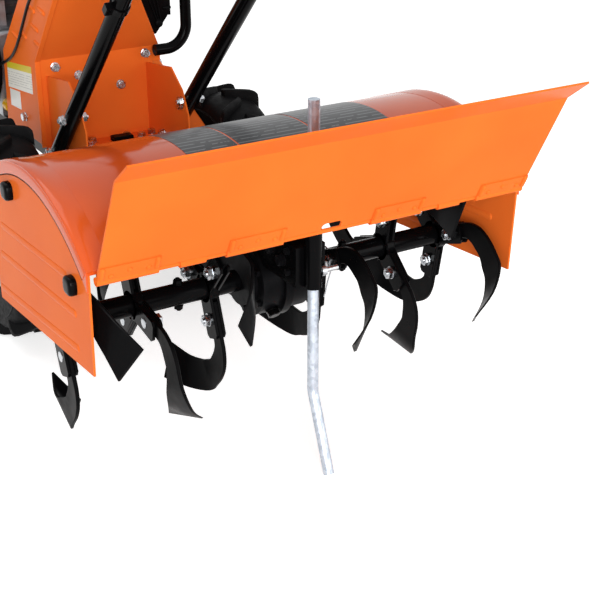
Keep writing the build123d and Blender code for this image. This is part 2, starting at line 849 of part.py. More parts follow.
with BuildPart() as oil_plug:
    with BuildSketch(Plane.XZ.offset(-engine_rear)):
        with Locations((engine_offset - crankcase_half_length + plug_inset,
                        bed_height + plug_rise)):
            Circle(plug_radius)
    extrude(amount=plug_length)
save(oil_plug, "oil_plug")

manifold_bottom = tank_bottom + manifold_gap
manifold_y = (engine_middle - head_half * sin(radians(cylinder_lean))
              + (cylinder_end + head_end) / 2 * cos(radians(cylinder_lean)))
manifold_drop = (manifold_bottom - crank_height - head_half * cos(radians(cylinder_lean))
                 - cylinder_end * sin(radians(cylinder_lean)))
air_box_rear = engine_middle + tank_half_width + guard_gap
with BuildPart() as air_cleaner:
    with BuildSketch(Plane.XY.offset(manifold_bottom)):
        with Locations((-air_box_left + air_box_length / 2, air_box_rear + air_box_depth / 2)):
            RectangleRounded(air_box_length, air_box_depth, air_box_round)
    extrude(amount=air_box_height)
    fillet(air_cleaner.faces().sort_by(Axis.Z)[-1].edges(), radius=air_box_round / 2)
    with BuildSketch(Plane.XY.offset(manifold_bottom)):
        with Locations((engine_offset - head_half + intake_radius, manifold_y)):
            Circle(intake_radius)
    extrude(amount=-manifold_drop)
    add(engine_block.part, mode=Mode.SUBTRACT)
save(air_cleaner, "air_cleaner")

with BuildPart() as muffler:
    with BuildSketch(Plane.XY.offset(manifold_bottom)):
        with Locations((muffler_length / 2 - muffler_left, air_box_rear + muffler_depth / 2)):
            RectangleRounded(muffler_length, muffler_depth, muffler_round)
    extrude(amount=muffler_height)
    fillet(muffler.faces().sort_by(Axis.Z)[-1].edges(), radius=muffler_round / 2)
    with BuildSketch(Plane.XY.offset(manifold_bottom)):
        with Locations((engine_offset + head_half - exhaust_radius, manifold_y)):
            Circle(exhaust_radius)
    extrude(amount=-manifold_drop)
    add(engine_block.part, mode=Mode.SUBTRACT)
save(muffler, "muffler")

with BuildPart() as muffler_guard:
    with BuildSketch(Plane.XY.offset(manifold_bottom)):
        with Locations((muffler_length / 2 - muffler_left, air_box_rear + muffler_depth / 2)):
            RectangleRounded(muffler_length + 2 * guard_gap, muffler_depth + 2 * guard_gap,
                             muffler_round + guard_gap)
            RectangleRounded(muffler_length + 2 * guard_gap - 2 * sheet,
                             muffler_depth + 2 * guard_gap - 2 * sheet,
                             muffler_round + guard_gap - sheet, mode=Mode.SUBTRACT)
        with Locations((muffler_length / 2 - muffler_left, air_box_rear)):
            Rectangle(muffler_length + 4 * guard_gap, muffler_depth, mode=Mode.SUBTRACT)
    extrude(amount=muffler_height)
    with BuildSketch(Plane.XZ.offset(-air_box_rear - muffler_depth)):
        with Locations((muffler_length / 4 - muffler_left, manifold_bottom + muffler_height / 2),
                       (3 * muffler_length / 4 - muffler_left,
                        manifold_bottom + muffler_height / 2)):
            Circle(guard_stud_radius)
    extrude(amount=-guard_gap)
    with BuildSketch(Plane.XZ.offset(-air_box_rear - muffler_depth - guard_gap)):
        with Locations((muffler_length / 2 - muffler_left, manifold_bottom + muffler_height / 2)):
            with GridLocations(guard_slot_pitch, guard_slot_rise, guard_slot_count, 2):
                Rectangle(guard_slot_width, guard_slot_height)
    extrude(amount=sheet, mode=Mode.SUBTRACT)
save(muffler_guard, "muffler_guard")

# Belt cover on the right, from the engine's shaft down to the case's input
with BuildPart() as belt_cover:
    with BuildSketch(Plane.YZ.offset(belt_cover_inner)):
        with Locations((engine_middle, crank_height)):
            Circle(belt_engine_radius)
        with Locations((0, belt_case_height)):
            Circle(belt_case_radius)
        make_hull()
    extrude(amount=belt_cover_outer - belt_cover_inner)
    fillet(belt_cover.faces().sort_by(Axis.X)[-1].edges(), radius=belt_round)
save(belt_cover, "belt_cover")

# Lift loop, shift bracket and gear lever on the belt tower
with BuildPart() as lift_loop:
    with BuildLine() as loop_path:
        FilletPolyline((tower_half_width - overrun, loop_forward, loop_bottom),
                       (loop_side, loop_forward, loop_bottom),
                       (loop_side, loop_forward, loop_top),
                       (tower_top_right, loop_forward, loop_top), radius=loop_bend_radius)
    with BuildSketch(Plane(origin=loop_path.line @ 0, z_dir=loop_path.line % 0)):
        Circle(loop_tube_radius)
    sweep(path=loop_path.line)
    add(tower_form.part, mode=Mode.SUBTRACT)
save(lift_loop, "lift_loop")

with BuildPart() as shift_bracket:
    with BuildSketch(Plane.XZ.offset(-loop_forward - loop_tube_radius)):
        with BuildLine():
            Polyline((bracket_inner, bracket_bottom), (tower_half_width, bracket_bottom),
                     (bracket_outer - overrun, bracket_shoulder),
                     (bracket_outer - overrun, bracket_top), (bracket_inner, bracket_top),
                     close=True)
        make_face()
    extrude(amount=-bracket_plate)
    with BuildSketch(Plane.XZ.offset(-loop_forward - loop_tube_radius - bracket_plate)):
        with Locations((bracket_outer - bracket_width / 2, (bracket_shoulder + bracket_top) / 2)):
            Rectangle(bracket_width, bracket_top - bracket_shoulder)
    extrude(amount=-bracket_width)
    add(tower_form.part, mode=Mode.SUBTRACT)
save(shift_bracket, "shift_bracket")

shift_root = Vector(-shift_root_side, tower_upper_rear + shift_root_inset, tower_top)
shift_top = Vector(-shift_root_side, shift_root.Y - shift_reach, shift_top_height)
shift_way = (shift_top - shift_root).normalized()
with BuildPart() as gear_lever:
    with BuildSketch(Plane(origin=shift_root - shift_way * shift_rod_radius, z_dir=shift_way)):
        Circle(shift_rod_radius)
    extrude(amount=(shift_top - shift_root).length + shift_rod_radius)
    with BuildSketch(Plane(origin=shift_top, z_dir=shift_way)):
        Circle(shift_knob_radius)
    extrude(amount=shift_knob_length)
    fillet(gear_lever.faces().sort_by(Axis.Y)[0].edges(), radius=shift_knob_radius / 2)
    add(tower_form.part, mode=Mode.SUBTRACT)
save(gear_lever, "gear_lever")

# Throttle cable, from the left lever down the handle tube to the engine
def over_tube(behind):
    """A point of the cable on top of the left handle tube's steep run."""
    tube_height = handle_foot_height + (handle_foot + behind) * tan(radians(handle_pitch))
    return (-handle_side, -behind, tube_height + cable_rise)


# The cable past the tower. Columns: share of the way out from the tube to the
# tower's side, place ahead of the tower's back, height above the tower's top
cable_places = (
    (0.25, -425, 25), (0.5, -345, 3), (0.75, -255, -1), (1, -165, -7), (1, -80, -33),
    (1, -5, -79), (1, 55, -147), (1, 105, -203), (1, 160, -239),
)
cable_side = tower_half_width + cable_radius + cable_gap
lever_end = grip_y + grip_length + clamp_length
cable_route = [
    (-handle_grip_offset, lever_end, handle_grip_height + cable_lift),
    (-handle_grip_offset, lever_end + cable_step, handle_grip_height + cable_lift),
    (-handle_side - cable_bow, -handle_knee - cable_bow_behind, knee_height + cable_bow_rise),
    over_tube(handle_knee - cable_tube_start),
    over_tube(handle_knee - cable_tube_end),
]
for share, ahead, above in cable_places:
    cable_route.append((-handle_side - share * (cable_side - handle_side),
                        tower_rear + ahead, tower_top + above))
cable_route.append((-cable_side, engine_rear - cable_inset, crank_height - cable_drop))


def route_radii(points):
    """Arc radii of a route, each as large as its two runs allow."""
    radii = []
    for before, here, after in zip(points, points[1:], points[2:]):
        run_in = Vector(here) - Vector(before)
        run_out = Vector(after) - Vector(here)
        half_turn = radians(run_in.get_angle(run_out)) / 2
        radii.append(route_bend_share * min(run_in.length, run_out.length) / tan(half_turn))
    return radii


cable_radii = route_radii(cable_route)
print("cable radii", [round(radius) for radius in cable_radii])
with BuildPart() as throttle_cable:
    with BuildLine() as cable_path:
        FilletPolyline(*cable_route, radius=cable_radii)
    with BuildSketch(Plane(origin=cable_path.line @ 0, z_dir=cable_path.line % 0)):
        Circle(cable_radius)
    sweep(path=cable_path.line)
    add(fan_housing.part, mode=Mode.SUBTRACT)
save(throttle_cable, "throttle_cable")
print("cable length", round(sum(edge.length for edge in cable_path.edges())))
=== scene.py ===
import math

import bmesh
import bpy
from mathutils import Matrix, Vector


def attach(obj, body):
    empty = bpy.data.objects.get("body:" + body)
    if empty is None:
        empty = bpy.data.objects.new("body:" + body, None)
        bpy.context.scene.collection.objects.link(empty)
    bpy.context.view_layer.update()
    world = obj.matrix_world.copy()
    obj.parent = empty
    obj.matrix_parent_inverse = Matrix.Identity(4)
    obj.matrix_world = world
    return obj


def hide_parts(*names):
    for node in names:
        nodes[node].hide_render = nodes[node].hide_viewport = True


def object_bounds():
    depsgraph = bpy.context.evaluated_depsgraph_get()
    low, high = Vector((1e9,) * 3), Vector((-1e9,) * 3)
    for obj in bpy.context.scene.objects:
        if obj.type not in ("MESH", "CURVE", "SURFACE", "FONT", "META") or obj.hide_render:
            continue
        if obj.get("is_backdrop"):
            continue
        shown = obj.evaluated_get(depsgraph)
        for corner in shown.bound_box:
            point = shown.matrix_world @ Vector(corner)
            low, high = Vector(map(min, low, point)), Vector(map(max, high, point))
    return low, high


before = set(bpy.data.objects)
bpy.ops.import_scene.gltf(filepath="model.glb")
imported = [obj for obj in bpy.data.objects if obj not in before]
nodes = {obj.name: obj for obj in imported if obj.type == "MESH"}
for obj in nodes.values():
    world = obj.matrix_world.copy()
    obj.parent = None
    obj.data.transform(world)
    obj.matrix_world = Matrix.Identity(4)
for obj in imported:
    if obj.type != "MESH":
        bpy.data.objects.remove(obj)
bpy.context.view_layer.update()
scene = bpy.context.scene
scene.view_settings.view_transform = "Standard"

# Camera: a long lens behind the machine's left, looking down on the tine hood.
# The picture is cut from a larger one, so the lens axis is off its middle.
picture_width = 600
focal_pixels = 1308.3
axis_column, axis_row = 316.7, 354.3
heading, downward, roll = math.radians(31.47), math.radians(27.37), math.radians(0.34)
camera_place = Vector((-0.9521, -2.2989, 1.1469))
sensor_width = 36

camera_data = bpy.data.cameras.new("camera")
camera_data.sensor_width = sensor_width
camera_data.lens = focal_pixels / picture_width * sensor_width
camera_data.shift_x = (picture_width / 2 - axis_column) / picture_width
camera_data.shift_y = (axis_row - picture_width / 2) / picture_width
camera = bpy.data.objects.new("camera", camera_data)
scene.collection.objects.link(camera)
ahead = Vector((math.sin(heading) * math.cos(downward),
                math.cos(heading) * math.cos(downward), -math.sin(downward)))
level = Vector((math.cos(heading), -math.sin(heading), 0))
over = level.cross(ahead)
right = level * math.cos(roll) + over * math.sin(roll)
up = over * math.cos(roll) - level * math.sin(roll)
camera.matrix_world = (Matrix.Translation(camera_place)
                       @ Matrix((right, up, -ahead)).transposed().to_4x4())
scene.camera = camera


# Studio: white paper on the floor under a white sky, with a large soft lamp behind
# the camera and two weak ones, at the right and above. Camera and mirror rays see
# plain white.
def linear(colour):
    """Linear RGBA of an sRGB hex colour."""
    shares = [int(colour[start:start + 2], 16) / 255 for start in (1, 3, 5)]
    return [*(s / 12.92 if s <= 0.04045 else ((s + 0.055) / 1.055) ** 2.4 for s in shares), 1.0]


def add_node(tree, kind, options=None, values=None, links=None):
    """Adds a node, sets its options and its sockets' values, and links sources to its sockets."""
    node = tree.nodes.new(kind)
    for name, value in (options or {}).items():
        setattr(node, name, value)
    for socket, value in (values or {}).items():
        node.inputs[socket].default_value = value
    for socket, source in (links or {}).items():
        tree.links.new(source, node.inputs[socket])
    return node


def seen_plainly(tree):
    """1 on camera, mirror and glass rays, 0 on the rays that carry light to the object."""
    path = add_node(tree, "ShaderNodeLightPath")
    direct = add_node(tree, "ShaderNodeMath", {"operation": "MAXIMUM"}, None,
                      {0: path.outputs["Is Camera Ray"], 1: path.outputs["Is Glossy Ray"]})
    return add_node(tree, "ShaderNodeMath", {"operation": "MAXIMUM"}, None,
                    {0: direct.outputs[0], 1: path.outputs["Is Transmission Ray"]}).outputs[0]


plain_white = (1, 1, 1, 1)
sky_light = 0.42
floor_lift = 0.6
floor_half = 30
floor_drop = -0.0008
lamp_aim = Vector((0, -0.3, 0.35))
lamps = (
    ("key", (-2.9, -7.0, 1.9), 4.0, 520),
    ("fill", (3.2, -4.6, 1.6), 2.6, 60),
    ("top", (-0.9, 0.9, 3.4), 2.2, 26),
)
world = bpy.data.worlds.new("studio sky")
scene.world = world
world.use_nodes = True
world.node_tree.nodes.clear()
sky_dim = add_node(world.node_tree, "ShaderNodeBackground", None,
                   {"Color": plain_white, "Strength": sky_light})
sky_white = add_node(world.node_tree, "ShaderNodeBackground", None,
                     {"Color": plain_white, "Strength": 1})
sky_mix = add_node(world.node_tree, "ShaderNodeMixShader", None, None,
                   {0: seen_plainly(world.node_tree), 1: sky_dim.outputs[0],
                    2: sky_white.outputs[0]})
add_node(world.node_tree, "ShaderNodeOutputWorld", None, None, {"Surface": sky_mix.outputs[0]})

for lamp_name, lamp_place, lamp_size, lamp_power in lamps:
    lamp_data = bpy.data.lights.new(lamp_name, "AREA")
    lamp_data.energy = lamp_power
    lamp_data.size = lamp_size
    lamp = bpy.data.objects.new(lamp_name, lamp_data)
    lamp.location = lamp_place
    lamp.rotation_euler = (lamp_aim - lamp.location).to_track_quat("-Z", "Y").to_euler()
    scene.collection.objects.link(lamp)


def new_material(name):
    """An empty procedural material: its tree, its shader and the object's own coordinates."""
    material = bpy.data.materials.new(name)
    material.use_nodes = True
    tree = material.node_tree
    tree.nodes.clear()
    shader = add_node(tree, "ShaderNodeBsdfPrincipled")
    add_node(tree, "ShaderNodeOutputMaterial", None, None, {"Surface": shader.outputs[0]})
    place = add_node(tree, "ShaderNodeTexCoord").outputs["Object"]
    return material, tree, shader, place


paper, paper_tree, paper_shader = new_material("white studio paper, matt")[:3]
paper_shader.inputs["Base Color"].default_value = linear("#F7F7F6")
paper_shader.inputs["Roughness"].default_value = 0.9
paper_shader.inputs["Specular IOR Level"].default_value = 0.1
paper_shader.inputs["Emission Color"].default_value = plain_white
lift = add_node(paper_tree, "ShaderNodeMath", {"operation": "MULTIPLY"}, {1: floor_lift},
                {0: seen_plainly(paper_tree)})
paper_tree.links.new(lift.outputs[0], paper_shader.inputs["Emission Strength"])
floor_mesh = bpy.data.meshes.new("floor")
floor_mesh.from_pydata([(x * floor_half, y * floor_half, floor_drop)
                        for x, y in ((-1, -1), (1, -1), (1, 1), (-1, 1))], [], [(0, 1, 2, 3)])
floor_mesh.materials.append(paper)
floor = bpy.data.objects.new("floor", floor_mesh)
scene.collection.objects.link(floor)
floor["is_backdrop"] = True


# Orange sheet metal: the tower, tine hood, flap and belt cover. Cold-rolled
# steel, bent and welded, with a glossy powder coat that ripples like orange peel.
def grain(tree, place, wavelength, detail=2.0, roughness=0.5):
    """Noise whose lumps are a given number of metres apart."""
    return add_node(tree, "ShaderNodeTexNoise", None,
                    {"Scale": 1 / wavelength, "Detail": detail, "Roughness": roughness},
                    {"Vector": place}).outputs["Fac"]


def spread(tree, value, low, high):
    """A noise's middle range spread between two values."""
    return add_node(tree, "ShaderNodeMapRange", None,
                    {"From Min": 0.3, "From Max": 0.7, "To Min": low, "To Max": high},
                    {"Value": value}).outputs["Result"]


def two_tone(tree, value, first, second):
    """A colour between two hex colours, by a value from 0 to 1."""
    mix = add_node(tree, "ShaderNodeMix", {"data_type": "RGBA"}, None, {"Factor": value})
    mix.inputs[6].default_value = linear(first)
    mix.inputs[7].default_value = linear(second)
    return mix.outputs[2]


def relief(tree, shader, height, depth, strength=1.0, under=None):
    """Bumps of a depth in metres in the shader's normal, over an earlier relief."""
    links = {"Height": height}
    if under is not None:
        links["Normal"] = under
    bump = add_node(tree, "ShaderNodeBump", None, {"Distance": depth, "Strength": strength}, links)
    tree.links.new(bump.outputs["Normal"], shader.inputs["Normal"])
    return bump.outputs["Normal"]


def powder_coat(name, first, second, gloss, peel_depth=0.00008, mirror=0.02):
    """Powder-coated steel: peel ripples 2.5 mm apart, cloudy gloss, drifts of tone."""
    material, tree, shader, place = new_material(name)
    tone = two_tone(tree, spread(tree, grain(tree, place, 0.16), 0, 1), first, second)
    tree.links.new(tone, shader.inputs["Base Color"])
    haze = spread(tree, grain(tree, place, 0.03, 4), gloss * 0.8, gloss * 1.3)
    tree.links.new(haze, shader.inputs["Roughness"])
    relief(tree, shader, grain(tree, place, 0.0025, 1), peel_depth, 0.35)
    shader.inputs["Specular IOR Level"].default_value = mirror
    return material


def dress(material, *names):
    """Puts a material on CAD nodes."""
    for name in names:
        nodes[name].data.materials.clear()
        nodes[name].data.materials.append(material)


orange_coat = powder_coat("steel, glossy orange powder coat", "#EE722B", "#E86B28", 0.2)
# The hood's rolled sheet has a smoother coat, which mirrors the sky; its darker, redder base is
# painted shade.
hood_coat_painted_shade = powder_coat("steel, orange powder coat, smooth, with painted shade", "#D9591F", "#CF4F1B", 0.12,
                        mirror=0.3)
dress(orange_coat, "belt_tower", "hood_side_left", "hood_side_right", "hinge_rod", "rear_flap",
      "belt_cover")
dress(hood_coat_painted_shade, "hood_shell")


def lay_out(bm, name, material, body, crease=35):
    """Finishes a mesh as a piece: outward faces, crisp edges, material and body."""
    bmesh.ops.recalc_face_normals(bm, faces=bm.faces)
    mesh = bpy.data.meshes.new(name)
    bm.to_mesh(mesh)
    bm.free()
    mesh.materials.append(material)
    mesh.shade_smooth()
    mesh.set_sharp_from_angle(angle=math.radians(crease))
    piece = bpy.data.objects.new(name, mesh)
    scene.collection.objects.link(piece)
    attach(piece, body)
    return piece


def skin(bm, rings, closed=False):
    """Faces between rings of points, with both ends filled unless the rings close."""
    made = [[bm.verts.new(point) for point in ring] for ring in rings]
    count = len(made[0])
    pairs = list(zip(made, made[1:])) + ([(made[-1], made[0])] if closed else [])
    for near, far in pairs:
        for spot in range(count):
            after = (spot + 1) % count
            bm.faces.new((near[spot], near[after], far[after], far[spot]))
    if not closed:
        bm.faces.new(made[0])
        bm.faces.new(made[-1])


def inset(outline, depth):
    """A convex outline drawn in by a depth."""
    made = []
    total = len(outline)
    for spot in range(total):
        before, here, after = (Vector(outline[(spot + step) % total]) for step in (-1, 0, 1))
        run_in, run_out = (here - before).normalized(), (after - here).normalized()
        side_in, side_out = Vector((-run_in.y, run_in.x)), Vector((-run_out.y, run_out.x))
        middle = (side_in + side_out).normalized()
        made.append(here + middle * depth / max(0.3, middle.dot(side_in)))
    return made


def plate(bm, outline, place, thickness, edge):
    """A flat plate with softened edges. place maps the outline's plane into the frame."""
    twice_area = sum(a[0] * b[1] - b[0] * a[1] for a, b in zip(outline, outline[1:] + outline[:1]))
    outline = list(outline) if twice_area > 0 else list(reversed(outline))
    small = inset(outline, edge)
    levels = ((small, 0), ([Vector(p) for p in outline], edge),
              ([Vector(p) for p in outline], thickness - edge), (small, thickness))
    skin(bm, [[place @ Vector((p.x, p.y, height)) for p in ring] for ring, height in levels])


def pressing(bm, start, end, half_width, rise, out, sunk=0.0008, rows=5, steps=10):
    """A rounded rib pressed out of a sheet between two points, standing along out."""
    start, end, out = Vector(start), Vector(end), Vector(out).normalized()
    along = (end - start).normalized()
    across = out.cross(along)
    rings = []
    for row in range(-1, rows):
        turn = max(0, row) / rows * math.pi / 2
        reach = half_width * math.cos(turn)
        height = -sunk if row < 0 else rise * math.sin(turn)
        ring = []
        for middle, way in ((end, along), (start, -along)):
            for step in range(steps + 1):
                swing = math.pi * step / steps
                side = across if way == along else -across
                ring.append(middle + out * height
                            + reach * (side * math.cos(swing) + way * math.sin(swing)))
        rings.append(ring)
    skin(bm, rings)


# Belt tower trim: the rear sheet's folded left edge, two tabs and a weld bead at
# its right edge, a floor sheet, pressed louvres, and two blank stickers on the left
# wall, one with a yellow band.
tower_rear, tower_bend, tower_top_y, tower_top = 0.085, 0.495, -0.0969, 0.697
tower_side = 0.118
tower_foot, tower_top_cut = 0.324, 0.001
flange_reach, flange_lap, flange_sheet, flange_edge = 0.009, 0.0015, 0.003, 0.0006
louvre_places = ((0.100, 0.592), (0.048, 0.598), (0.092, 0.558), (0.160, 0.531),
                 (0.082, 0.528), (0.205, 0.520))
louvre_half, louvre_width, louvre_rise, louvre_fall = 0.014, 0.0045, 0.003, 0.004

trim = bmesh.new()
fold_line = [(tower_rear, tower_foot), (tower_rear, tower_bend),
             (tower_top_y, tower_top - tower_top_cut)]
for near, far in zip(fold_line, fold_line[1:]):
    run = Vector((0, far[0] - near[0], far[1] - near[1]))
    place = Matrix((Vector((1, 0, 0)), run.normalized(), Vector((1, 0, 0)).cross(run.normalized())))
    place = place.transposed().to_4x4()
    place.translation = Vector((-tower_side - flange_reach, near[0], near[1]))
    flange_width = flange_reach + flange_lap
    plate(trim, [(0, 0), (flange_width, 0), (flange_width, run.length), (0, run.length)], place,
          flange_sheet, flange_edge)
tab_sheet, tab_edge = 0.003, 0.0005
tab_low = ((0.117, 0.463), (0.135, 0.463), (0.135, 0.491), (0.1325, 0.4955), (0.117, 0.4955))
tab_high = ((0.117, 0), (0.1325, 0), (0.056, 0.152), (0.052, 0.152))
rear_place = Matrix(((1, 0, 0, 0), (0, 0, 1, tower_rear), (0, 1, 0, 0), (0, 0, 0, 1)))
plate(trim, tab_low, rear_place, tab_sheet, tab_edge)
lean_run = Vector((0, tower_top_y - tower_rear, tower_top - tower_bend)).normalized()
lean_in = Vector((0, lean_run.z, -lean_run.y))
lean_place = Matrix((Vector((1, 0, 0)), lean_run, lean_in)).transposed().to_4x4()
lean_place.translation = Vector((0, tower_rear, tower_bend))
plate(trim, tab_high, lean_place, tab_sheet, tab_edge)
weld_x, weld_low, weld_high, weld_half, weld_rise = 0.1165, 0.326, 0.462, 0.0028, 0.0020
pressing(trim, (weld_x, tower_rear, weld_low), (weld_x, tower_rear, weld_high), weld_half,
         weld_rise, (0, -1, 0))
for y, z in louvre_places:
    pressing(trim, (-tower_side, y - louvre_half, z - louvre_fall),
             (-tower_side, y + louvre_half, z), louvre_width, louvre_rise, (-1, 0, 0))
floor_half_width, floor_rear, floor_top, floor_sheet = 0.117, 0.020, 0.322, 0.002
plate(trim, [(-floor_half_width, floor_rear), (floor_half_width, floor_rear),
             (floor_half_width, tower_rear), (-floor_half_width, tower_rear)],
      Matrix.Translation((0, 0, floor_top)), floor_sheet, tab_edge)
lay_out(trim, "tower_trim", orange_coat, "frame")


def vinyl(name, ground, band, rule, layout):
    """Printed, laminated vinyl: a ground colour, a band and thin rules, with no words.
    layout: direction across the sticker, then along it the band's two ends, the pitch
    of the rules and the two ends of their field, in metres."""
    material, tree, shader, place = new_material(name)
    direction, low, high, pitch, rule_low, rule_high = layout
    across = add_node(tree, "ShaderNodeVectorMath", {"operation": "DOT_PRODUCT"},
                      {1: direction}, {0: place}).outputs["Value"]

    def between(start, end):
        return add_node(tree, "ShaderNodeMath", {"operation": "COMPARE"},
                        {1: (start + end) / 2, 2: (end - start) / 2}, {0: across}).outputs[0]

    wave = add_node(tree, "ShaderNodeMath", {"operation": "PINGPONG"}, {1: pitch / 2},
                    {0: across}).outputs[0]
    lines = add_node(tree, "ShaderNodeMath", {"operation": "LESS_THAN"}, {1: pitch * 0.13},
                     {0: wave}).outputs[0]
    broken = add_node(tree, "ShaderNodeMath", {"operation": "GREATER_THAN"}, {1: 0.42},
                      {0: grain(tree, place, pitch * 1.6, 3)}).outputs[0]
    dashes = add_node(tree, "ShaderNodeMath", {"operation": "MULTIPLY"}, None,
                      {0: lines, 1: broken}).outputs[0]
    both = add_node(tree, "ShaderNodeMath", {"operation": "MULTIPLY"}, None,
                    {0: dashes, 1: between(rule_low, rule_high)}).outputs[0]
    base = two_tone(tree, both, ground, rule)
    mix = add_node(tree, "ShaderNodeMix", {"data_type": "RGBA"}, None,
                   {"Factor": between(low, high)})
    tree.links.new(base, mix.inputs[6])
    mix.inputs[7].default_value = linear(band)
    tree.links.new(mix.outputs[2], shader.inputs["Base Color"])
    shader.inputs["Roughness"].default_value = 0.3
    shader.inputs["Specular IOR Level"].default_value = 0.3
    relief(tree, shader, grain(tree, place, 0.004), 0.00005, 0.2)
    return material


sticker_thick, sticker_edge = 0.0004, 0.0001
# Laminated vinyl lies flat on the paint and has a low sheen.
white_vinyl = vinyl("vinyl sticker, white with a yellow band", "#E9E6DC", "#D9C32E", "#B9B6AE",
                    ((0, 0.14, 1), 0.477, 0.500, 0.0050, 0.441, 0.473))
plain_vinyl = vinyl("vinyl sticker, plain white", "#E4E2DC", "#D4D2CC", "#C8C6C0",
                    ((0, 0.14, 1), 0.398, 0.400, 0.01, 0.1, 0.11))
wall_place = Matrix(((0, 0, -1, -tower_side), (1, 0, 0, 0), (0, 1, 0, 0), (0, 0, 0, 1)))
sticker = bmesh.new()
plate(sticker, [(0.275, 0.451), (0.132, 0.472), (0.135, 0.417), (0.279, 0.398)], wall_place,
      sticker_thick, sticker_edge)
lay_out(sticker, "tower_sticker_large", white_vinyl, "frame")
sticker = bmesh.new()
plate(sticker, [(0.273, 0.396), (0.212, 0.403), (0.213, 0.366), (0.274, 0.361)], wall_place,
      sticker_thick, sticker_edge)
lay_out(sticker, "tower_sticker_small", plain_vinyl, "frame")

# Hood trim: pressed ribs stiffen the side plates, the rolled sheet's edge is
# turned over them with a dark gap below it, and capped screws hold them.
hood_arc_y, hood_arc_z, hood_arc_radius = -0.545, 0.2038, 0.310
hood_face_x, hood_edge_x = 0.372, 0.375
hood_rear_turn, hood_front_turn = math.radians(-43.1), math.radians(19.5)
hood_front_foot = (-0.352, 0.464)
rib_lines = (((-0.400, 0.377), (-0.668, 0.395)), ((-0.384, 0.323), (-0.694, 0.344)),
             ((-0.364, 0.257), (-0.694, 0.289)))
rib_half, rib_rise, hood_sheet = 0.006, 0.0015, 0.003
rim_section = ((0.0006, -0.0188), (0.0010, -0.0060), (0.0004, -0.0018), (-0.0022, 0.0009),
               (-0.0080, 0.0022), (-0.0160, 0.0020), (-0.0250, 0.0011), (-0.0360, 0.0003),
               (-0.0360, -0.0008), (-0.0010, -0.0022), (-0.0010, -0.0188))
gap_half, gap_drop, gap_sunk, gap_reach = 0.0008, 0.0199, 0.0005, 0.0036


def over_hood(x, turn, lift):
    """A point of the rolled sheet, turned ahead of its top and lifted off it."""
    return Vector((x, hood_arc_y + (hood_arc_radius + lift) * math.sin(turn),
                   hood_arc_z + (hood_arc_radius + lift) * math.cos(turn)))


def along_hood(x, lift, steps=48):
    """Points over the sheet's whole edge: its arc and the flat stretch in front."""
    line = [over_hood(x, hood_rear_turn + (hood_front_turn - hood_rear_turn) * k / steps, lift)
            for k in range(steps + 1)]
    out = Vector((0, math.sin(hood_front_turn), math.cos(hood_front_turn)))
    return line + [Vector((x, *hood_front_foot)) + out * lift]


for side_name, side in (("left", -1), ("right", 1)):
    ribs = bmesh.new()
    for near, far in rib_lines:
        pressing(ribs, (side * hood_face_x, *near), (side * hood_face_x, *far), rib_half,
                 rib_rise, (side, 0, 0))
        inner_x = side * (hood_face_x - hood_sheet)
        pressing(ribs, (inner_x, *near), (inner_x, *far), rib_half, rib_rise, (-side, 0, 0))
    lay_out(ribs, f"hood_ribs_{side_name}", orange_coat, "frame")
    rim = bmesh.new()
    lines = [along_hood(side * (hood_edge_x + x), lift) for x, lift in rim_section]
    skin(rim, [list(ring) for ring in zip(*lines)])
    # The rim wears the hood's coat, whose darker, redder base is painted shade.
    lay_out(rim, f"hood_rim_{side_name}", hood_coat_painted_shade, "frame", 50)

# The gap under the turned edge lies in shade and looks nearly black.
gap_shade = powder_coat("steel, paint in the shade of a gap", "#2A0E05", "#220B04", 0.6)
for side_name, side in (("left", -1), ("right", 1)):
    gap = bmesh.new()
    lines = [along_hood(side * (hood_face_x + x), -gap_drop + lift) for x, lift in
             ((-gap_sunk, -gap_half), (gap_reach, -gap_half), (gap_reach, gap_half),
              (-gap_sunk, gap_half))]
    skin(gap, [list(ring) for ring in zip(*lines)])
    lay_out(gap, f"hood_gap_{side_name}", gap_shade, "frame")


def moulded(name, first, second, rough, grain_size=0.0012, depth=0.00015, mirror=0.4):
    """Moulded plastic or rubber with an even grain from its mould."""
    material, tree, shader, place = new_material(name)
    tone = two_tone(tree, spread(tree, grain(tree, place, 0.05, 3), 0, 1), first, second)
    tree.links.new(tone, shader.inputs["Base Color"])
    tree.links.new(spread(tree, grain(tree, place, 0.01, 2), rough * 0.85, rough * 1.15),
                   shader.inputs["Roughness"])
    shader.inputs["Specular IOR Level"].default_value = mirror
    relief(tree, shader, grain(tree, place, grain_size, 2), depth, 0.4)
    return material


# The caps are smooth and glossy, with a soft highlight on their rounded edge.
cap_plastic = moulded("polyethylene, glossy black screw cap", "#050506", "#080809", 0.2,
                      0.004, 0.0001, 0.06)
cap_places = ((-0.4577, 0.4537), (-0.6986, 0.3906))
cap_half, cap_height, cap_square = 0.0142, 0.012, 3.0
cap_profile = ((1.0, -1 / 12), (1.0, 0.62), (0.93, 0.85), (0.78, 0.97), (0.50, 1.0), (0.2, 1.0))


def squarish(half, power, steps=32):
    """A square outline with full corners, between a circle and a square."""
    made = []
    for step in range(steps):
        turn = 2 * math.pi * step / steps
        c, k = math.cos(turn), math.sin(turn)
        made.append((math.copysign(abs(c) ** (2 / power), c) * half,
                     math.copysign(abs(k) ** (2 / power), k) * half))
    return made


for side_name, side in (("left", -1), ("right", 1)):
    caps = bmesh.new()
    for y, z in cap_places:
        skin(caps, [[Vector((side * (hood_face_x + cap_height * rise), y + a, z + b))
                     for a, b in squarish(cap_half * share, cap_square)]
                    for share, rise in cap_profile])
    lay_out(caps, f"hood_screw_caps_{side_name}", cap_plastic, "frame", 40)

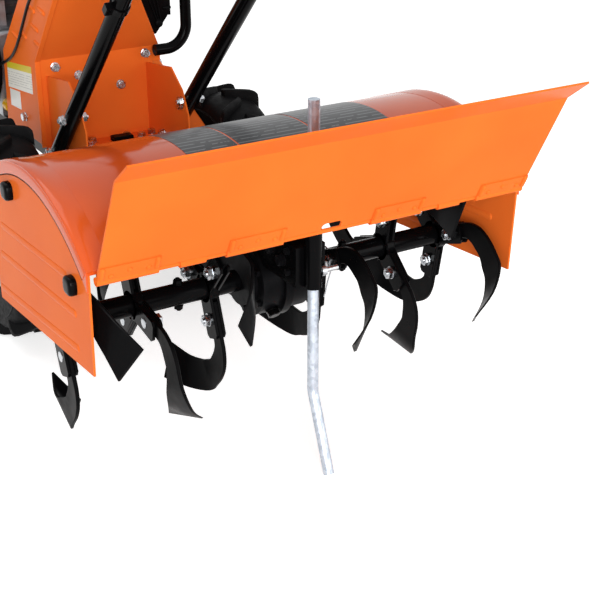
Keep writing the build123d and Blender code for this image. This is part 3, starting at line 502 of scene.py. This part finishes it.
# Hood sticker: a dark glossy printed sheet with pale rules and no words, stuck
# on the rolled sheet in three lengths.
label_left, label_right = -0.139, 0.225
label_front, label_back = math.radians(16.5), math.radians(-13)
dark_vinyl = vinyl("vinyl sticker, dark grey with pale rules", "#2B2D30", "#3A3D40", "#6A6D70",
                   ((0, 1, 0), -0.5, -0.46, 0.012, -0.60, -0.47))
label = bmesh.new()
label_rows = 24
label_under, label_over = 0.0001, 0.0005
for low, high in ((label_left, -0.052), (-0.048, 0.085), (0.089, label_right)):
    rings = []
    for step in range(label_rows + 1):
        turn = label_back + (label_front - label_back) * step / label_rows
        rings.append([over_hood(x, turn, lift) for x, lift in
                      ((low, label_under), (low, label_over), (high, label_over),
                       (high, label_under))])
    skin(label, rings)
lay_out(label, "hood_sticker", dark_vinyl, "frame")

# Rear flap trim: each riveted hinge leaf has two pressed ridges at its ends
# and three low rivet heads, all under the same paint as the flap.
flap_foot, flap_lean = Vector((0, -0.768, 0.420)), math.radians(27.6)
flap_up = Vector((0, -math.sin(flap_lean), math.cos(flap_lean)))
flap_back = Vector((0, -math.cos(flap_lean), -math.sin(flap_lean)))
leaf_face = 0.005
leaf_middles = (-0.320, -0.122, 0.122, 0.320)
leaf_ridges = ((-0.041, 0.010, 0.027), (0.041, 0.012, 0.028))
leaf_rivets = ((-0.027, 0.012), (0.000, 0.018), (0.029, 0.014))
ridge_half, ridge_rise = 0.0040, 0.0036
rivet_half, rivet_rise = 0.0040, 0.0026
rivet_run = flap_up * 0.0002
flap_trim = bmesh.new()
for middle in leaf_middles:
    origin = flap_foot + flap_back * leaf_face + Vector((middle, 0, 0))
    for x, low, high in leaf_ridges:
        aside = Vector((x, 0, 0))
        pressing(flap_trim, origin + aside + flap_up * low, origin + aside + flap_up * high,
                 ridge_half, ridge_rise, flap_back)
    for x, rise in leaf_rivets:
        spot = origin + Vector((x, 0, 0)) + flap_up * rise
        pressing(flap_trim, spot - rivet_run, spot + rivet_run, rivet_half, rivet_rise, flap_back)
lay_out(flap_trim, "flap_hinge_rivets", orange_coat, "flap")


# Zinc-plated screws, nuts and washers all over the machine: hexagon heads with
# a turned chamfer on round washers, made at points that each face a way.
def turned_metal(name, first, second, rough_low, rough_high):
    """Plated or turned steel: metallic, cloudy, with faint tool marks."""
    material, tree, shader, place = new_material(name)
    tone = two_tone(tree, spread(tree, grain(tree, place, 0.006, 3), 0, 1), first, second)
    tree.links.new(tone, shader.inputs["Base Color"])
    shader.inputs["Metallic"].default_value = 1
    tree.links.new(spread(tree, grain(tree, place, 0.004, 3), rough_low, rough_high),
                   shader.inputs["Roughness"])
    relief(tree, shader, grain(tree, place, 0.0008, 2), 0.00004, 0.3)
    return material


# Bright zinc mirrors the white studio, with a faint bluish cloud.
zinc = turned_metal("steel, bright zinc plating", "#C9CCCF", "#AEB3B8", 0.18, 0.34)


def hex_tree():
    """Node tree: a hexagon on a washer, with a thread end, at every point."""
    tree = bpy.data.node_groups.new("hexagon fastener", "GeometryNodeTree")
    tree.interface.new_socket("Geometry", in_out="INPUT", socket_type="NodeSocketGeometry")
    for label_name in ("Across Flats", "Head Height", "Washer Radius", "Washer Height",
                       "Thread Radius", "Thread Reach"):
        tree.interface.new_socket(label_name, in_out="INPUT", socket_type="NodeSocketFloat")
    tree.interface.new_socket("Finish", in_out="INPUT", socket_type="NodeSocketMaterial")
    tree.interface.new_socket("Geometry", in_out="OUTPUT", socket_type="NodeSocketGeometry")
    given = add_node(tree, "NodeGroupInput")

    def maths(operation, first, second):
        links, values = {}, {}
        for spot, item in enumerate((first, second)):
            (values if isinstance(item, float) else links)[spot] = item
        return add_node(tree, "ShaderNodeMath", {"operation": operation}, values, links).outputs[0]

    def lifted(mesh, height):
        shift = add_node(tree, "ShaderNodeCombineXYZ", None, None, {"Z": height})
        return add_node(tree, "GeometryNodeTransform", None, None,
                        {"Geometry": mesh, "Translation": shift.outputs[0]}).outputs[0]

    flats, head, washer_radius, washer, thread, reach = (
        given.outputs[name] for name in ("Across Flats", "Head Height", "Washer Radius",
                                         "Washer Height", "Thread Radius", "Thread Reach"))
    corner = maths("MULTIPLY", flats, 0.5774)
    hexagon = add_node(tree, "GeometryNodeMeshCylinder", None, {"Vertices": 6},
                       {"Radius": corner, "Depth": head}).outputs["Mesh"]
    hexagon = lifted(hexagon, maths("ADD", maths("MULTIPLY", head, 0.5), washer))
    crown_height = maths("MULTIPLY", head, 0.14)
    crown = add_node(tree, "GeometryNodeMeshCone", None, {"Vertices": 24},
                     {"Radius Bottom": maths("MULTIPLY", flats, 0.5),
                      "Radius Top": maths("MULTIPLY", flats, 0.42),
                      "Depth": crown_height}).outputs["Mesh"]
    crown = lifted(crown, maths("ADD", head, washer))
    disc = add_node(tree, "GeometryNodeMeshCylinder", None, {"Vertices": 32},
                    {"Radius": washer_radius, "Depth": washer}).outputs["Mesh"]
    disc = lifted(disc, maths("MULTIPLY", washer, 0.5))
    stub_length = maths("ADD", maths("ADD", head, washer), reach)
    stub = add_node(tree, "GeometryNodeMeshCylinder", None, {"Vertices": 20},
                    {"Radius": thread, "Depth": stub_length}).outputs["Mesh"]
    stub = lifted(stub, maths("MULTIPLY", stub_length, 0.5))
    whole = add_node(tree, "GeometryNodeJoinGeometry")
    for mesh in (hexagon, crown, disc, stub):
        tree.links.new(mesh, whole.inputs[0])
    facing = add_node(tree, "GeometryNodeInputNamedAttribute", {"data_type": "FLOAT_VECTOR"},
                      {"Name": "facing"}).outputs["Attribute"]
    aim = add_node(tree, "FunctionNodeAlignRotationToVector", {"axis": "Z"}, None,
                   {"Vector": facing}).outputs[0]
    chance = add_node(tree, "FunctionNodeRandomValue", {"data_type": "FLOAT"}, {"Seed": 11})
    for socket in chance.inputs:
        if socket.name == "Max" and socket.type == "VALUE":
            socket.default_value = math.pi
    angle = [s for s in chance.outputs if s.type == "VALUE" and s.enabled][0]
    spin = add_node(tree, "FunctionNodeAxisAngleToRotation", None, {"Axis": (0, 0, 1)},
                    {"Angle": angle}).outputs[0]
    turn = add_node(tree, "FunctionNodeRotateRotation", {"rotation_space": "LOCAL"}, None,
                    {0: aim, 1: spin}).outputs[0]
    copies = add_node(tree, "GeometryNodeInstanceOnPoints", None, None,
                      {"Points": given.outputs["Geometry"], "Instance": whole.outputs[0],
                       "Rotation": turn}).outputs[0]
    real = add_node(tree, "GeometryNodeRealizeInstances", None, None, {0: copies}).outputs[0]
    coated = add_node(tree, "GeometryNodeSetMaterial", None, None,
                      {"Geometry": real, "Material": given.outputs["Finish"]}).outputs[0]
    add_node(tree, "NodeGroupOutput", None, None, {"Geometry": coated})
    return tree


fastener = hex_tree()


def at_points(tree, name, places, inputs, body, crease=35):
    """Runs a node tree on places, given as (point, facing), and keeps its plain mesh."""
    mesh = bpy.data.meshes.new(name)
    mesh.from_pydata([tuple(point) for point, facing in places], [], [])
    ways = mesh.attributes.new("facing", "FLOAT_VECTOR", "POINT")
    ways.data.foreach_set("vector", [part for point, facing in places for part in facing])
    piece = bpy.data.objects.new(name, mesh)
    scene.collection.objects.link(piece)
    modifier = piece.modifiers.new(name, "NODES")
    modifier.node_group = tree
    for item in tree.interface.items_tree:
        if item.in_out == "INPUT" and item.name in inputs:
            modifier[item.identifier] = inputs[item.name]
    bpy.context.view_layer.update()
    graph = bpy.context.evaluated_depsgraph_get()
    made = bpy.data.meshes.new_from_object(piece.evaluated_get(graph))
    piece.modifiers.clear()
    piece.data = made
    made.shade_smooth()
    made.set_sharp_from_angle(angle=math.radians(crease))
    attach(piece, body)
    return piece


def fasteners(name, places, flats, body, finish=None, reach=0.0,
              washer=1.15):
    """Hexagon heads, or nuts where a thread reaches out of them."""
    return at_points(fastener, name, places, {
        "Across Flats": flats, "Head Height": flats * 0.42, "Washer Radius": flats * washer / 1.9,
        "Washer Height": flats * 0.12, "Thread Radius": flats * 0.28, "Thread Reach": reach,
        "Finish": finish or zinc}, body)


back, left_way, right_way, upward = (0, -1, 0), (-1, 0, 0), (1, 0, 0), (0, 0, 1)
tower_screws = [((x, tower_rear, z), back) for x, z in
                ((-0.087, 0.479), (-0.040, 0.457), (0.046, 0.427), (0.102, 0.482),
                 (-0.092, 0.360))]
tower_screws += [((x, y, floor_top + floor_sheet), upward) for x, y in
                 ((-0.028, 0.068), (-0.040, 0.052), (0.045, 0.066), (0.071, 0.052),
                  (0.098, 0.062))]
tower_screws += [((-tower_side, 0.190, 0.358), left_way), ((0.103, -0.072, 0.416), left_way),
                 ((tower_side, 0.190, 0.358), right_way)]
fasteners("tower_screws", tower_screws, 0.015, "frame")
foot_screws = []
for side in (-1, 1):
    for y, z in ((-0.076, 0.424), (0.012, 0.336)):
        foot_screws.append(((side * 0.136, y, z), (side, 0, 0)))
        foot_screws.append(((side * 0.103, y, z), (-side, 0, 0)))
fasteners("handle_foot_screws", foot_screws, 0.016, "frame", reach=0.004)

# Black pieces: tubes, gear lever, brackets and bed, welded or bent steel with a
# deep black powder coat, and the castings, which keep their sand grain. The stake's
# pin and the clutch levers are zinc-plated.
black_coat = powder_coat("steel, glossy black powder coat", "#050506", "#080809", 0.18, mirror=0.045)
satin_black = powder_coat("steel, satin black paint", "#060607", "#0A0A0B", 0.34, 0.0001, 0.035)


def casting(name, first, second, rough, mirror=0.5, metallic=0.0):
    """Sand-cast iron or aluminium: lumps 2 mm and 9 mm across, under paint or bare."""
    material, tree, shader, place = new_material(name)
    tone = two_tone(tree, spread(tree, grain(tree, place, 0.02, 4), 0, 1), first, second)
    tree.links.new(tone, shader.inputs["Base Color"])
    tree.links.new(spread(tree, grain(tree, place, 0.012, 3), rough * 0.8, rough * 1.25),
                   shader.inputs["Roughness"])
    shader.inputs["Specular IOR Level"].default_value = mirror
    shader.inputs["Metallic"].default_value = metallic
    coarse = relief(tree, shader, grain(tree, place, 0.009, 2), 0.0004, 0.3)
    relief(tree, shader, grain(tree, place, 0.002, 3), 0.0003, 0.5, coarse)
    return material


cast_black = casting("cast iron, black paint", "#080809", "#0E0E10", 0.36, 0.045)
dress(cast_black, "gear_case")
dress(black_coat, "engine_bed", "handlebar", "hood_hanger", "stake_holder", "lift_loop",
      "shift_bracket", "gear_lever", "fan_housing", "fuel_tank")
dress(zinc, "stake_pin", "clutch_lever_left", "clutch_lever_right")

# Shift bracket's rear face: an arm with three ribs, a round boss and two bars,
# and a block on the tower's floor.
bracket_rear = 0.061
arm_top_x, arm_top_z, arm_end_x, arm_end_z = 0.114, 0.588, 0.125, 0.548
arm_rib_half, arm_rib_rise = 0.0018, 0.0026
boss_x, boss_z, boss_half, boss_rise = 0.125, 0.543, 0.0088, 0.0052
bar_near, bar_far, bar_half, bar_rise = 0.137, 0.149, 0.0035, 0.0030
block_outline = ((0.007, 0.039), (0.048, 0.039), (0.048, 0.060), (0.007, 0.060))
block_height, block_edge = 0.011, 0.0015
bracket_trim = bmesh.new()
for aside in (-0.008, 0.0, 0.008):
    pressing(bracket_trim, (arm_top_x + aside, bracket_rear, arm_top_z),
             (arm_end_x + aside / 2, bracket_rear, arm_end_z), arm_rib_half, arm_rib_rise, back)
pressing(bracket_trim, (boss_x - 0.0001, bracket_rear, boss_z),
         (boss_x + 0.0001, bracket_rear, boss_z), boss_half, boss_rise, back)
for height in (0.571, 0.590):
    pressing(bracket_trim, (bar_near, bracket_rear, height), (bar_far, bracket_rear, height),
             bar_half, bar_rise, back)
plate(bracket_trim, block_outline, Matrix.Translation((0, 0, floor_top + floor_sheet)),
      block_height, block_edge)
lay_out(bracket_trim, "bracket_trim", satin_black, "frame")

# Galvanised depth stake: hot-dipped bar with pale blue-grey spangles about
# 6 mm across and a slightly uneven skin of zinc.
galvanised, zinc_tree, zinc_shader, zinc_place = new_material("steel, hot-dip galvanised")
spangle = add_node(zinc_tree, "ShaderNodeTexVoronoi", None, {"Scale": 1 / 0.006},
                   {"Vector": zinc_place}).outputs["Color"]
spangle_tone = add_node(zinc_tree, "ShaderNodeSeparateColor", None, None,
                        {"Color": spangle}).outputs["Red"]
zinc_tree.links.new(two_tone(zinc_tree, spangle_tone, "#C9D2DC", "#A9B3BF"),
                    zinc_shader.inputs["Base Color"])
zinc_shader.inputs["Metallic"].default_value = 0.85
zinc_tree.links.new(spread(zinc_tree, grain(zinc_tree, zinc_place, 0.008, 3), 0.3, 0.48),
                    zinc_shader.inputs["Roughness"])
relief(zinc_tree, zinc_shader, grain(zinc_tree, zinc_place, 0.0015, 3), 0.00012, 0.5)
dress(galvanised, "depth_stake")

# Rotor: on each side a tube with pairs of cheek plates welded on, and curved
# tines, forged flat and twisted, each held between two cheeks by one bolt.
rotor_centre = Vector((0, -0.572, 0.275))
rotor_reach = 0.203
blade_width, blade_side_reach = 0.026, 0.034
blade_thick, blade_thin, blade_edge = 0.0072, 0.0050, 0.0011
blade_rows = (
    (0.120, -0.020, 0, 1.00, 0.00, 0), (0.414, -0.020, 0, 1.00, 0.00, 0),
    (0.515, -0.005, 14, 1.20, 0.00, 0), (0.606, 0.054, 25, 1.60, 0.00, 0),
    (0.675, 0.133, 47, 1.65, 0.00, 0), (0.714, 0.241, 59, 1.90, 0.00, 0),
    (0.744, 0.355, 65, 2.20, 0.05, -5), (0.712, 0.532, 70, 2.25, 0.41, -16),
    (0.606, 0.704, 71.6, 2.50, 1.00, -29),
)
cheek_thick, cheek_half, cheek_near, cheek_far, cheek_cut = 0.005, 0.018, 0.012, 0.084, 0.006
tine_bolt_reach = 0.052
bolt_head = ((-0.001, 0.0085), (0.0008, 0.0085), (0.0015, 0.006), (0.0019, 0.002))
tube_inner, tube_outer, tube_shift, tube_lock_x = 0.0604, 0.364, 0.012, 0.154
tube_radius, tube_bore, sleeve_radius = 0.018, 0.011, 0.026
rotor_groups = ((-1, 0.101, 70, 1), (-1, 0.229, 10, -1), (-1, 0.354, 70, -1),
                (1, 0.105, -24, -1), (1, 0.238, 40, 1), (1, 0.350, -20, -1))


def eased(rows, steps):
    """Rows of a table with smooth steps between them, through the given ones."""
    made = []
    last = len(rows) - 1
    for spot in range(last):
        before, start, end, after = (rows[min(max(spot + step, 0), last)] for step in (-1, 0, 1, 2))
        for step in range(steps):
            t = step / steps
            made.append([0.5 * (2 * b + (c - a) * t + (2 * a - 5 * b + 4 * c - d) * t**2
                                + (3 * b - a - 3 * c + d) * t**3)
                         for a, b, c, d in zip(before, start, end, after)])
    return made + [list(rows[-1])]


def blade_rings(hand, steps=4):
    """Cross-sections of one tine that points back along -Y and bends to one side."""
    rings = []
    rows = eased(blade_rows, steps)
    for spot, (outward, trail, turn, width, aside, twist) in enumerate(rows):
        turn, twist = math.radians(turn), math.radians(twist)
        travel = Vector((0, -math.cos(turn), -math.sin(turn)))
        across = Vector((0, math.sin(turn), -math.cos(turn)))
        broad = across * math.cos(twist) + Vector((hand, 0, 0)) * math.sin(twist)
        thin = travel.cross(broad)
        place = Vector((hand * aside * blade_side_reach, -outward * rotor_reach,
                        -trail * rotor_reach))
        half = blade_width * width / 2
        share = spot / (len(rows) - 1)
        thick = (blade_thick + (blade_thin - blade_thick) * share) / 2
        flat_half, flat_thick = half - blade_edge, thick - blade_edge
        rings.append([place + broad * a + thin * b for a, b in
                      ((half, flat_thick), (flat_half, thick), (-flat_half, thick),
                       (-half, flat_thick), (-half, -flat_thick), (-flat_half, -thick),
                       (flat_half, -thick), (half, -flat_thick))])
    return rings


def turned(bm, profile, base, axis, steps=40, hollow=False):
    """A turned form. The profile lists how far along the axis and how far out each ring is."""
    axis = Vector(axis).normalized()
    side = axis.orthogonal().normalized()
    other = axis.cross(side)
    rings = [[Vector(base) + axis * along + radius * (side * math.cos(2 * math.pi * k / steps)
                                                      + other * math.sin(2 * math.pi * k / steps))
              for k in range(steps)] for along, radius in profile]
    skin(bm, rings, hollow)


for side_name, side in (("left", -1), ("right", 1)):
    tines, sockets, heads, nut_places = bmesh.new(), bmesh.new(), bmesh.new(), []
    tube_start = side * tube_inner + tube_shift
    span = side * tube_outer - tube_start
    turned(sockets, ((0, tube_radius - 0.001), (span * 0.004, tube_radius),
                     (span * 0.996, tube_radius), (span, tube_radius - 0.001),
                     (span, tube_bore), (0, tube_bore)),
           rotor_centre + Vector((tube_start, 0, 0)), (1, 0, 0), 48, True)
    for group_side, distance, start, bend in rotor_groups:
        if group_side != side:
            continue
        hub = rotor_centre + Vector((side * distance, 0, 0))
        half = blade_thick / 2 + cheek_thick
        turned(sockets, ((-half, tube_radius), (-half, sleeve_radius - 0.002),
                         (0.002 - half, sleeve_radius), (half - 0.002, sleeve_radius),
                         (half, sleeve_radius - 0.002), (half, tube_radius)),
               hub, (1, 0, 0), 40, True)
        for number in range(3):
            spin = Matrix.Rotation(math.radians(start + number * 120), 4, "X")
            put = Matrix.Translation(hub) @ spin
            rings = [[put @ point for point in ring] for ring in blade_rings(side * bend)]
            skin(tines, rings)
            for cheek in (-1, 1):
                low = cheek * blade_thick / 2 if cheek > 0 else -blade_thick / 2 - cheek_thick
                frame_of = Matrix(((0, 0, 1, low), (1, 0, 0, 0), (0, 1, 0, 0), (0, 0, 0, 1)))
                outline = [(-cheek_near, -cheek_half), (-cheek_near, cheek_half),
                           (cheek_cut - cheek_far, cheek_half),
                           (-cheek_far, cheek_half - cheek_cut),
                           (-cheek_far, cheek_cut - cheek_half),
                           (cheek_cut - cheek_far, -cheek_half)]
                plate(sockets, outline, put @ frame_of, cheek_thick, 0.0008)
            at = put @ Vector((0, -tine_bolt_reach, 0))
            nut_side = 1 if side < 0 and distance > 0.2 else -1
            nut_places.append((at + Vector((nut_side * half, 0, 0)), (nut_side, 0, 0)))
            turned(heads, bolt_head, at + Vector((-nut_side * half, 0, 0)), (-nut_side, 0, 0), 24)
    tine_piece = lay_out(tines, f"tines_{side_name}", satin_black, "rotor", 30)
    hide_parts(f"rotor_{side_name}")
    lay_out(sockets, f"tine_sockets_{side_name}", black_coat, "rotor")
    lay_out(heads, f"tine_bolt_heads_{side_name}", zinc, "rotor", 50)
    fasteners(f"tine_nuts_{side_name}", nut_places, 0.018, "rotor", reach=0.003)
    lock_x = side * tube_lock_x
    fasteners(f"tube_lock_{side_name}",
              [(rotor_centre + Vector((lock_x, 0, tube_radius)), upward),
               (rotor_centre + Vector((lock_x, 0, -tube_radius)), (0, 0, -1))],
              0.013, "rotor", black_coat, 0.003)
dress(zinc, "rotor_shaft")

# Black screws on the casting and the stake's block, with a drain plug low at
# the back, a wire clip in the rotor's tube and a strap that holds the cable.
block_x, plug_place = 0.026, (-0.008, -0.6165, 0.2305)
casting_screws = [((-block_x, y, z), left_way) for y, z in
                  ((-0.684, 0.348), (-0.651, 0.357))]
small_screws = [((-block_x, y, z), left_way) for y, z in ((-0.700, 0.368), (-0.702, 0.334))]
small_screws += [((block_x, y, z), right_way) for y, z in ((-0.690, 0.362), (-0.640, 0.345))]
flange_bolts, flange_radius, flange_left, flange_right = 6, 0.0535, -0.032, 0.056
for number in range(flange_bolts):
    turn = math.radians(30 + number * 360 / flange_bolts)
    for face_x, way in ((flange_left, left_way), (flange_right, right_way)):
        spot = rotor_centre + Vector((face_x, flange_radius * math.cos(turn),
                                      flange_radius * math.sin(turn)))
        small_screws.append((spot, way))
fasteners("casting_screws", casting_screws, 0.017, "frame", cast_black)
fasteners("casting_small_screws", small_screws, 0.010, "frame", cast_black)
slope = math.sqrt(0.5)
# Black oxide is a thin dark skin that still mirrors like steel.
black_oxide = turned_metal("steel, black oxide", "#1B1B1C", "#101011", 0.3, 0.45)
fasteners("drain_plug", [(plug_place, (0, -slope, -slope))], 0.019, "frame",
          black_oxide)


def round_run(name, points, radius, steps, sides):
    """A round run through points, as a curve with one open spline."""
    curve = bpy.data.curves.new(name, "CURVE")
    curve.dimensions = "3D"
    line = curve.splines.new("NURBS")
    line.points.add(len(points) - 1)
    for point, spot in zip(line.points, points):
        point.co = (*spot, 1)
    line.order_u = 3
    line.use_endpoint_u = True
    line.resolution_u = steps
    curve.bevel_depth = radius
    curve.bevel_resolution = sides
    curve.use_fill_caps = True
    run = bpy.data.objects.new(name, curve)
    scene.collection.objects.link(run)
    return run


def wire(name, points, radius, material, body):
    """A bent wire or thin rod through points, as a closed smooth mesh."""
    holder = round_run(name, points, radius, 8, 3)
    bpy.context.view_layer.update()
    mesh = bpy.data.meshes.new_from_object(
        holder.evaluated_get(bpy.context.evaluated_depsgraph_get()))
    bpy.data.objects.remove(holder)
    bm = bmesh.new()
    bm.from_mesh(mesh)
    bmesh.ops.remove_doubles(bm, verts=bm.verts, dist=0.00001)
    return lay_out(bm, name, material, body)


wire("tube_spring_clip", ((0.121, -0.572, 0.298), (0.121, -0.586, 0.294), (0.121, -0.592, 0.275),
                          (0.120, -0.592, 0.262), (0.114, -0.590, 0.240), (0.110, -0.590, 0.220),
                          (0.109, -0.588, 0.215)), 0.0013, zinc, "rotor")
strap = bmesh.new()
strap_middle = Vector((-0.121, -0.330, 0.678))
tube_way = Vector((0, -slope, slope))
turned(strap, ((-0.007, 0.0148), (-0.007, 0.0168), (-0.0062, 0.0175), (0.0062, 0.0175),
               (0.007, 0.0168), (0.007, 0.0148)), strap_middle, tube_way, 32, True)
strap_left = Vector((-1, 0, 0))
strap_place = Matrix((tube_way, strap_left, tube_way.cross(strap_left))).transposed().to_4x4()
strap_place.translation = strap_middle - tube_way.cross(strap_left) * 0.004
plate(strap, [(-0.009, 0.0135), (0.009, 0.0135), (0.009, 0.027), (-0.009, 0.027)], strap_place,
      0.014, 0.001)
lay_out(strap, "cable_strap", cap_plastic, "frame")

# Engine: an air-cooled single of bare die-cast aluminium, pale, matt and lumpy, with
# a black enamelled fan housing and tank, an air cleaner of evenly grained plastic,
# and a sheet muffler and guard whose paint is a duller, greyer black.
bare_cast = casting("aluminium, die cast", "#A9ACAF", "#8F9296", 0.42, metallic=0.9)
dress(bare_cast, "engine_block", "valve_cover")
black_plastic = moulded("polypropylene, black, fine grain", "#0D0D0E", "#131314", 0.4, mirror=0.15)
yellow_plastic = moulded("polypropylene, yellow", "#E0A91A", "#D69E12", 0.35)
heat_paint = casting("sheet steel, heat-proof black paint", "#151516", "#1E1D1D", 0.55)
dress(black_plastic, "air_cleaner", "fuel_cap")
dress(yellow_plastic, "oil_plug")
dress(heat_paint, "muffler", "muffler_guard")
crank_y, crank_z = 0.415, 0.446
housing_face, housing_screw_radius, cover_face = -0.170, 0.096, 0.175
housing_screws = [((housing_face, crank_y + housing_screw_radius * math.cos(math.radians(angle)),
                    crank_z + housing_screw_radius * math.sin(math.radians(angle))), left_way)
                  for angle in (35, 145, 215, 325)]
fasteners("fan_housing_screws", housing_screws, 0.010, "frame")
cover_screws = [((cover_face, y, z), right_way) for y, z in
                ((0.470, 0.492), (0.462, 0.392), (0.187, 0.430), (0.228, 0.317),
                 (-0.030, 0.337), (0.000, 0.257))]
fasteners("belt_cover_screws", cover_screws, 0.013, "frame")

# Wheels: moulded rubber tyres with twelve lugs on each side of the tread, on
# pressed steel discs that five bolts hold to the axle. The rubber is near black and
# dull, the discs have a thin silver-grey enamel, and the axle ends show bare steel.
rubber = moulded("rubber, moulded tyre", "#0A0A0B", "#121213", 0.55, 0.003, 0.0003, 0.05)
rim_enamel = powder_coat("steel, silver-grey enamel", "#B9BBBD", "#AFB1B4", 0.34)
steel = turned_metal("steel, turned", "#9EA1A5", "#85898E", 0.25, 0.42)
tyre_section = ((0.104, 0.040), (0.1065, 0.0455), (0.112, 0.0490), (0.118, 0.0500),
                (0.1195, 0.0512), (0.1215, 0.0512), (0.123, 0.0508), (0.136, 0.0520),
                (0.152, 0.0522), (0.1625, 0.0516), (0.1635, 0.0524), (0.1660, 0.0524),
                (0.1670, 0.0510), (0.176, 0.0495), (0.183, 0.0450), (0.188, 0.0370),
                (0.1905, 0.0250), (0.1914, 0.0120), (0.1916, 0.0000))
tyre_steps, hub_bolts, bolt_circle, disc_face = 96, 5, 0.042, 0.003
wheel_x, wheel_radius = 0.237, 0.205
lug_count, lug_sweep, lug_half = 12, 0.034 / 0.0525, 0.0075
lug_stations = ((-0.006, 0.2030, 0.186, 0.85), (-0.004, 0.2045, 0.186, 0.95),
                (0.012, 0.2048, 0.186, 1.0), (0.030, 0.2046, 0.184, 1.0),
                (0.042, 0.2038, 0.180, 1.0), (0.0485, 0.2015, 0.174, 1.0),
                (0.0515, 0.1975, 0.170, 0.98), (0.0526, 0.1900, 0.168, 0.92))
for side_name, side in (("left", -1), ("right", 1)):
    centre = Vector((side * wheel_x, 0, wheel_radius))
    tyre = bmesh.new()
    half_section = [(x, r) for r, x in tyre_section]
    section = half_section + [(-x, r) for x, r in reversed(half_section[:-1])]
    rings = []
    for step in range(tyre_steps):
        turn = 2 * math.pi * step / tyre_steps
        rings.append([centre + Vector((x, r * math.cos(turn), r * math.sin(turn)))
                      for x, r in section])
    skin(tyre, rings, True)
    for hand in (-1, 1):
        for number in range(lug_count):
            turn = math.radians((number + (hand - 1) / 4) * 360 / lug_count)
            outward = Vector((0, -math.sin(turn), -math.cos(turn)))
            round_way = Vector((0, math.cos(turn), -math.sin(turn)))
            rings = []
            for x, top, foot, share in lug_stations:
                middle = centre + Vector((hand * x, 0, 0)) + round_way * lug_sweep * x
                half = lug_half * share
                rings.append([middle + outward * radius + round_way * w for radius, w in
                              ((foot, -half), (top - 0.0018, -half * 0.93),
                               (top - 0.0005, -half * 0.84), (top, -half * 0.68),
                               (top, half * 0.68), (top - 0.0005, half * 0.84),
                               (top - 0.0018, half * 0.93), (foot, half))])
            skin(tyre, rings)
    tyre_piece = lay_out(tyre, f"lugged_tyre_{side_name}", rubber, f"wheel_{side_name}",
                         40)
    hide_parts(f"tyre_{side_name}")
    hub_places = []
    for number in range(hub_bolts):
        turn = 2 * math.pi * number / hub_bolts
        hub_places.append((centre + Vector((side * disc_face, bolt_circle * math.cos(turn),
                                            bolt_circle * math.sin(turn))), (side, 0, 0)))
    fasteners(f"hub_bolts_{side_name}", hub_places, 0.016, f"wheel_{side_name}")
dress(rim_enamel, "rim_left", "rim_right")
dress(steel, "half_axle_left", "half_axle_right")

# Grips: moulded rubber sleeves on the handle tubes' ends, near black and dull,
# with fourteen rings that stand 0.8 mm proud.
grip_x, grip_rear, grip_z, rib_pitch, grip_rib_count = 0.275, -1.225, 0.985, 0.0075, 14
grip_rubber = moulded("rubber, moulded grip", "#0C0C0C", "#111111", 0.55, mirror=0.12)
dress(grip_rubber, "grip_left", "grip_right")
for side_name, side in (("left", -1), ("right", 1)):
    ribs = bmesh.new()
    for number in range(grip_rib_count):
        turned(ribs, ((-0.0022, 0.0188), (-0.0014, 0.0198), (0.0014, 0.0198), (0.0022, 0.0188)),
               (side * grip_x, grip_rear + number * rib_pitch, grip_z), (0, 1, 0), 40, True)
    lay_out(ribs, f"grip_ribs_{side_name}", grip_rubber, "frame")

# Throttle cable: a sheathed wire from the left lever down the handle tube and
# along the tower to the engine, held to the tube by a strap. The sheath is smooth
# vinyl with a narrow soft highlight.
sheath = moulded("vinyl sheath, black", "#08080A", "#0D0D0E", 0.3, mirror=0.12)
cable_radius = 0.003
cable_route = (
    (-0.275, -1.086, 1.004), (-0.275, -1.056, 1.004), (-0.127, -0.513, 0.874),
    (-0.121, -0.479, 0.855), (-0.121, -0.400, 0.776), (-0.122, -0.340, 0.722),
    (-0.123, -0.260, 0.700), (-0.124, -0.170, 0.696), (-0.125, -0.080, 0.690),
    (-0.125, 0.005, 0.664), (-0.125, 0.080, 0.618), (-0.125, 0.140, 0.550),
    (-0.125, 0.190, 0.494), (-0.125, 0.245, 0.458), (-0.125, 0.320, 0.434),
)
cable = round_run("throttle_cable_sheath", cable_route, cable_radius, 12, 4)
cable.data.materials.append(sheath)
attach(cable, "frame")
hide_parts("throttle_cable")

# The bounds of the dressed machine, without the floor.
low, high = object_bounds()
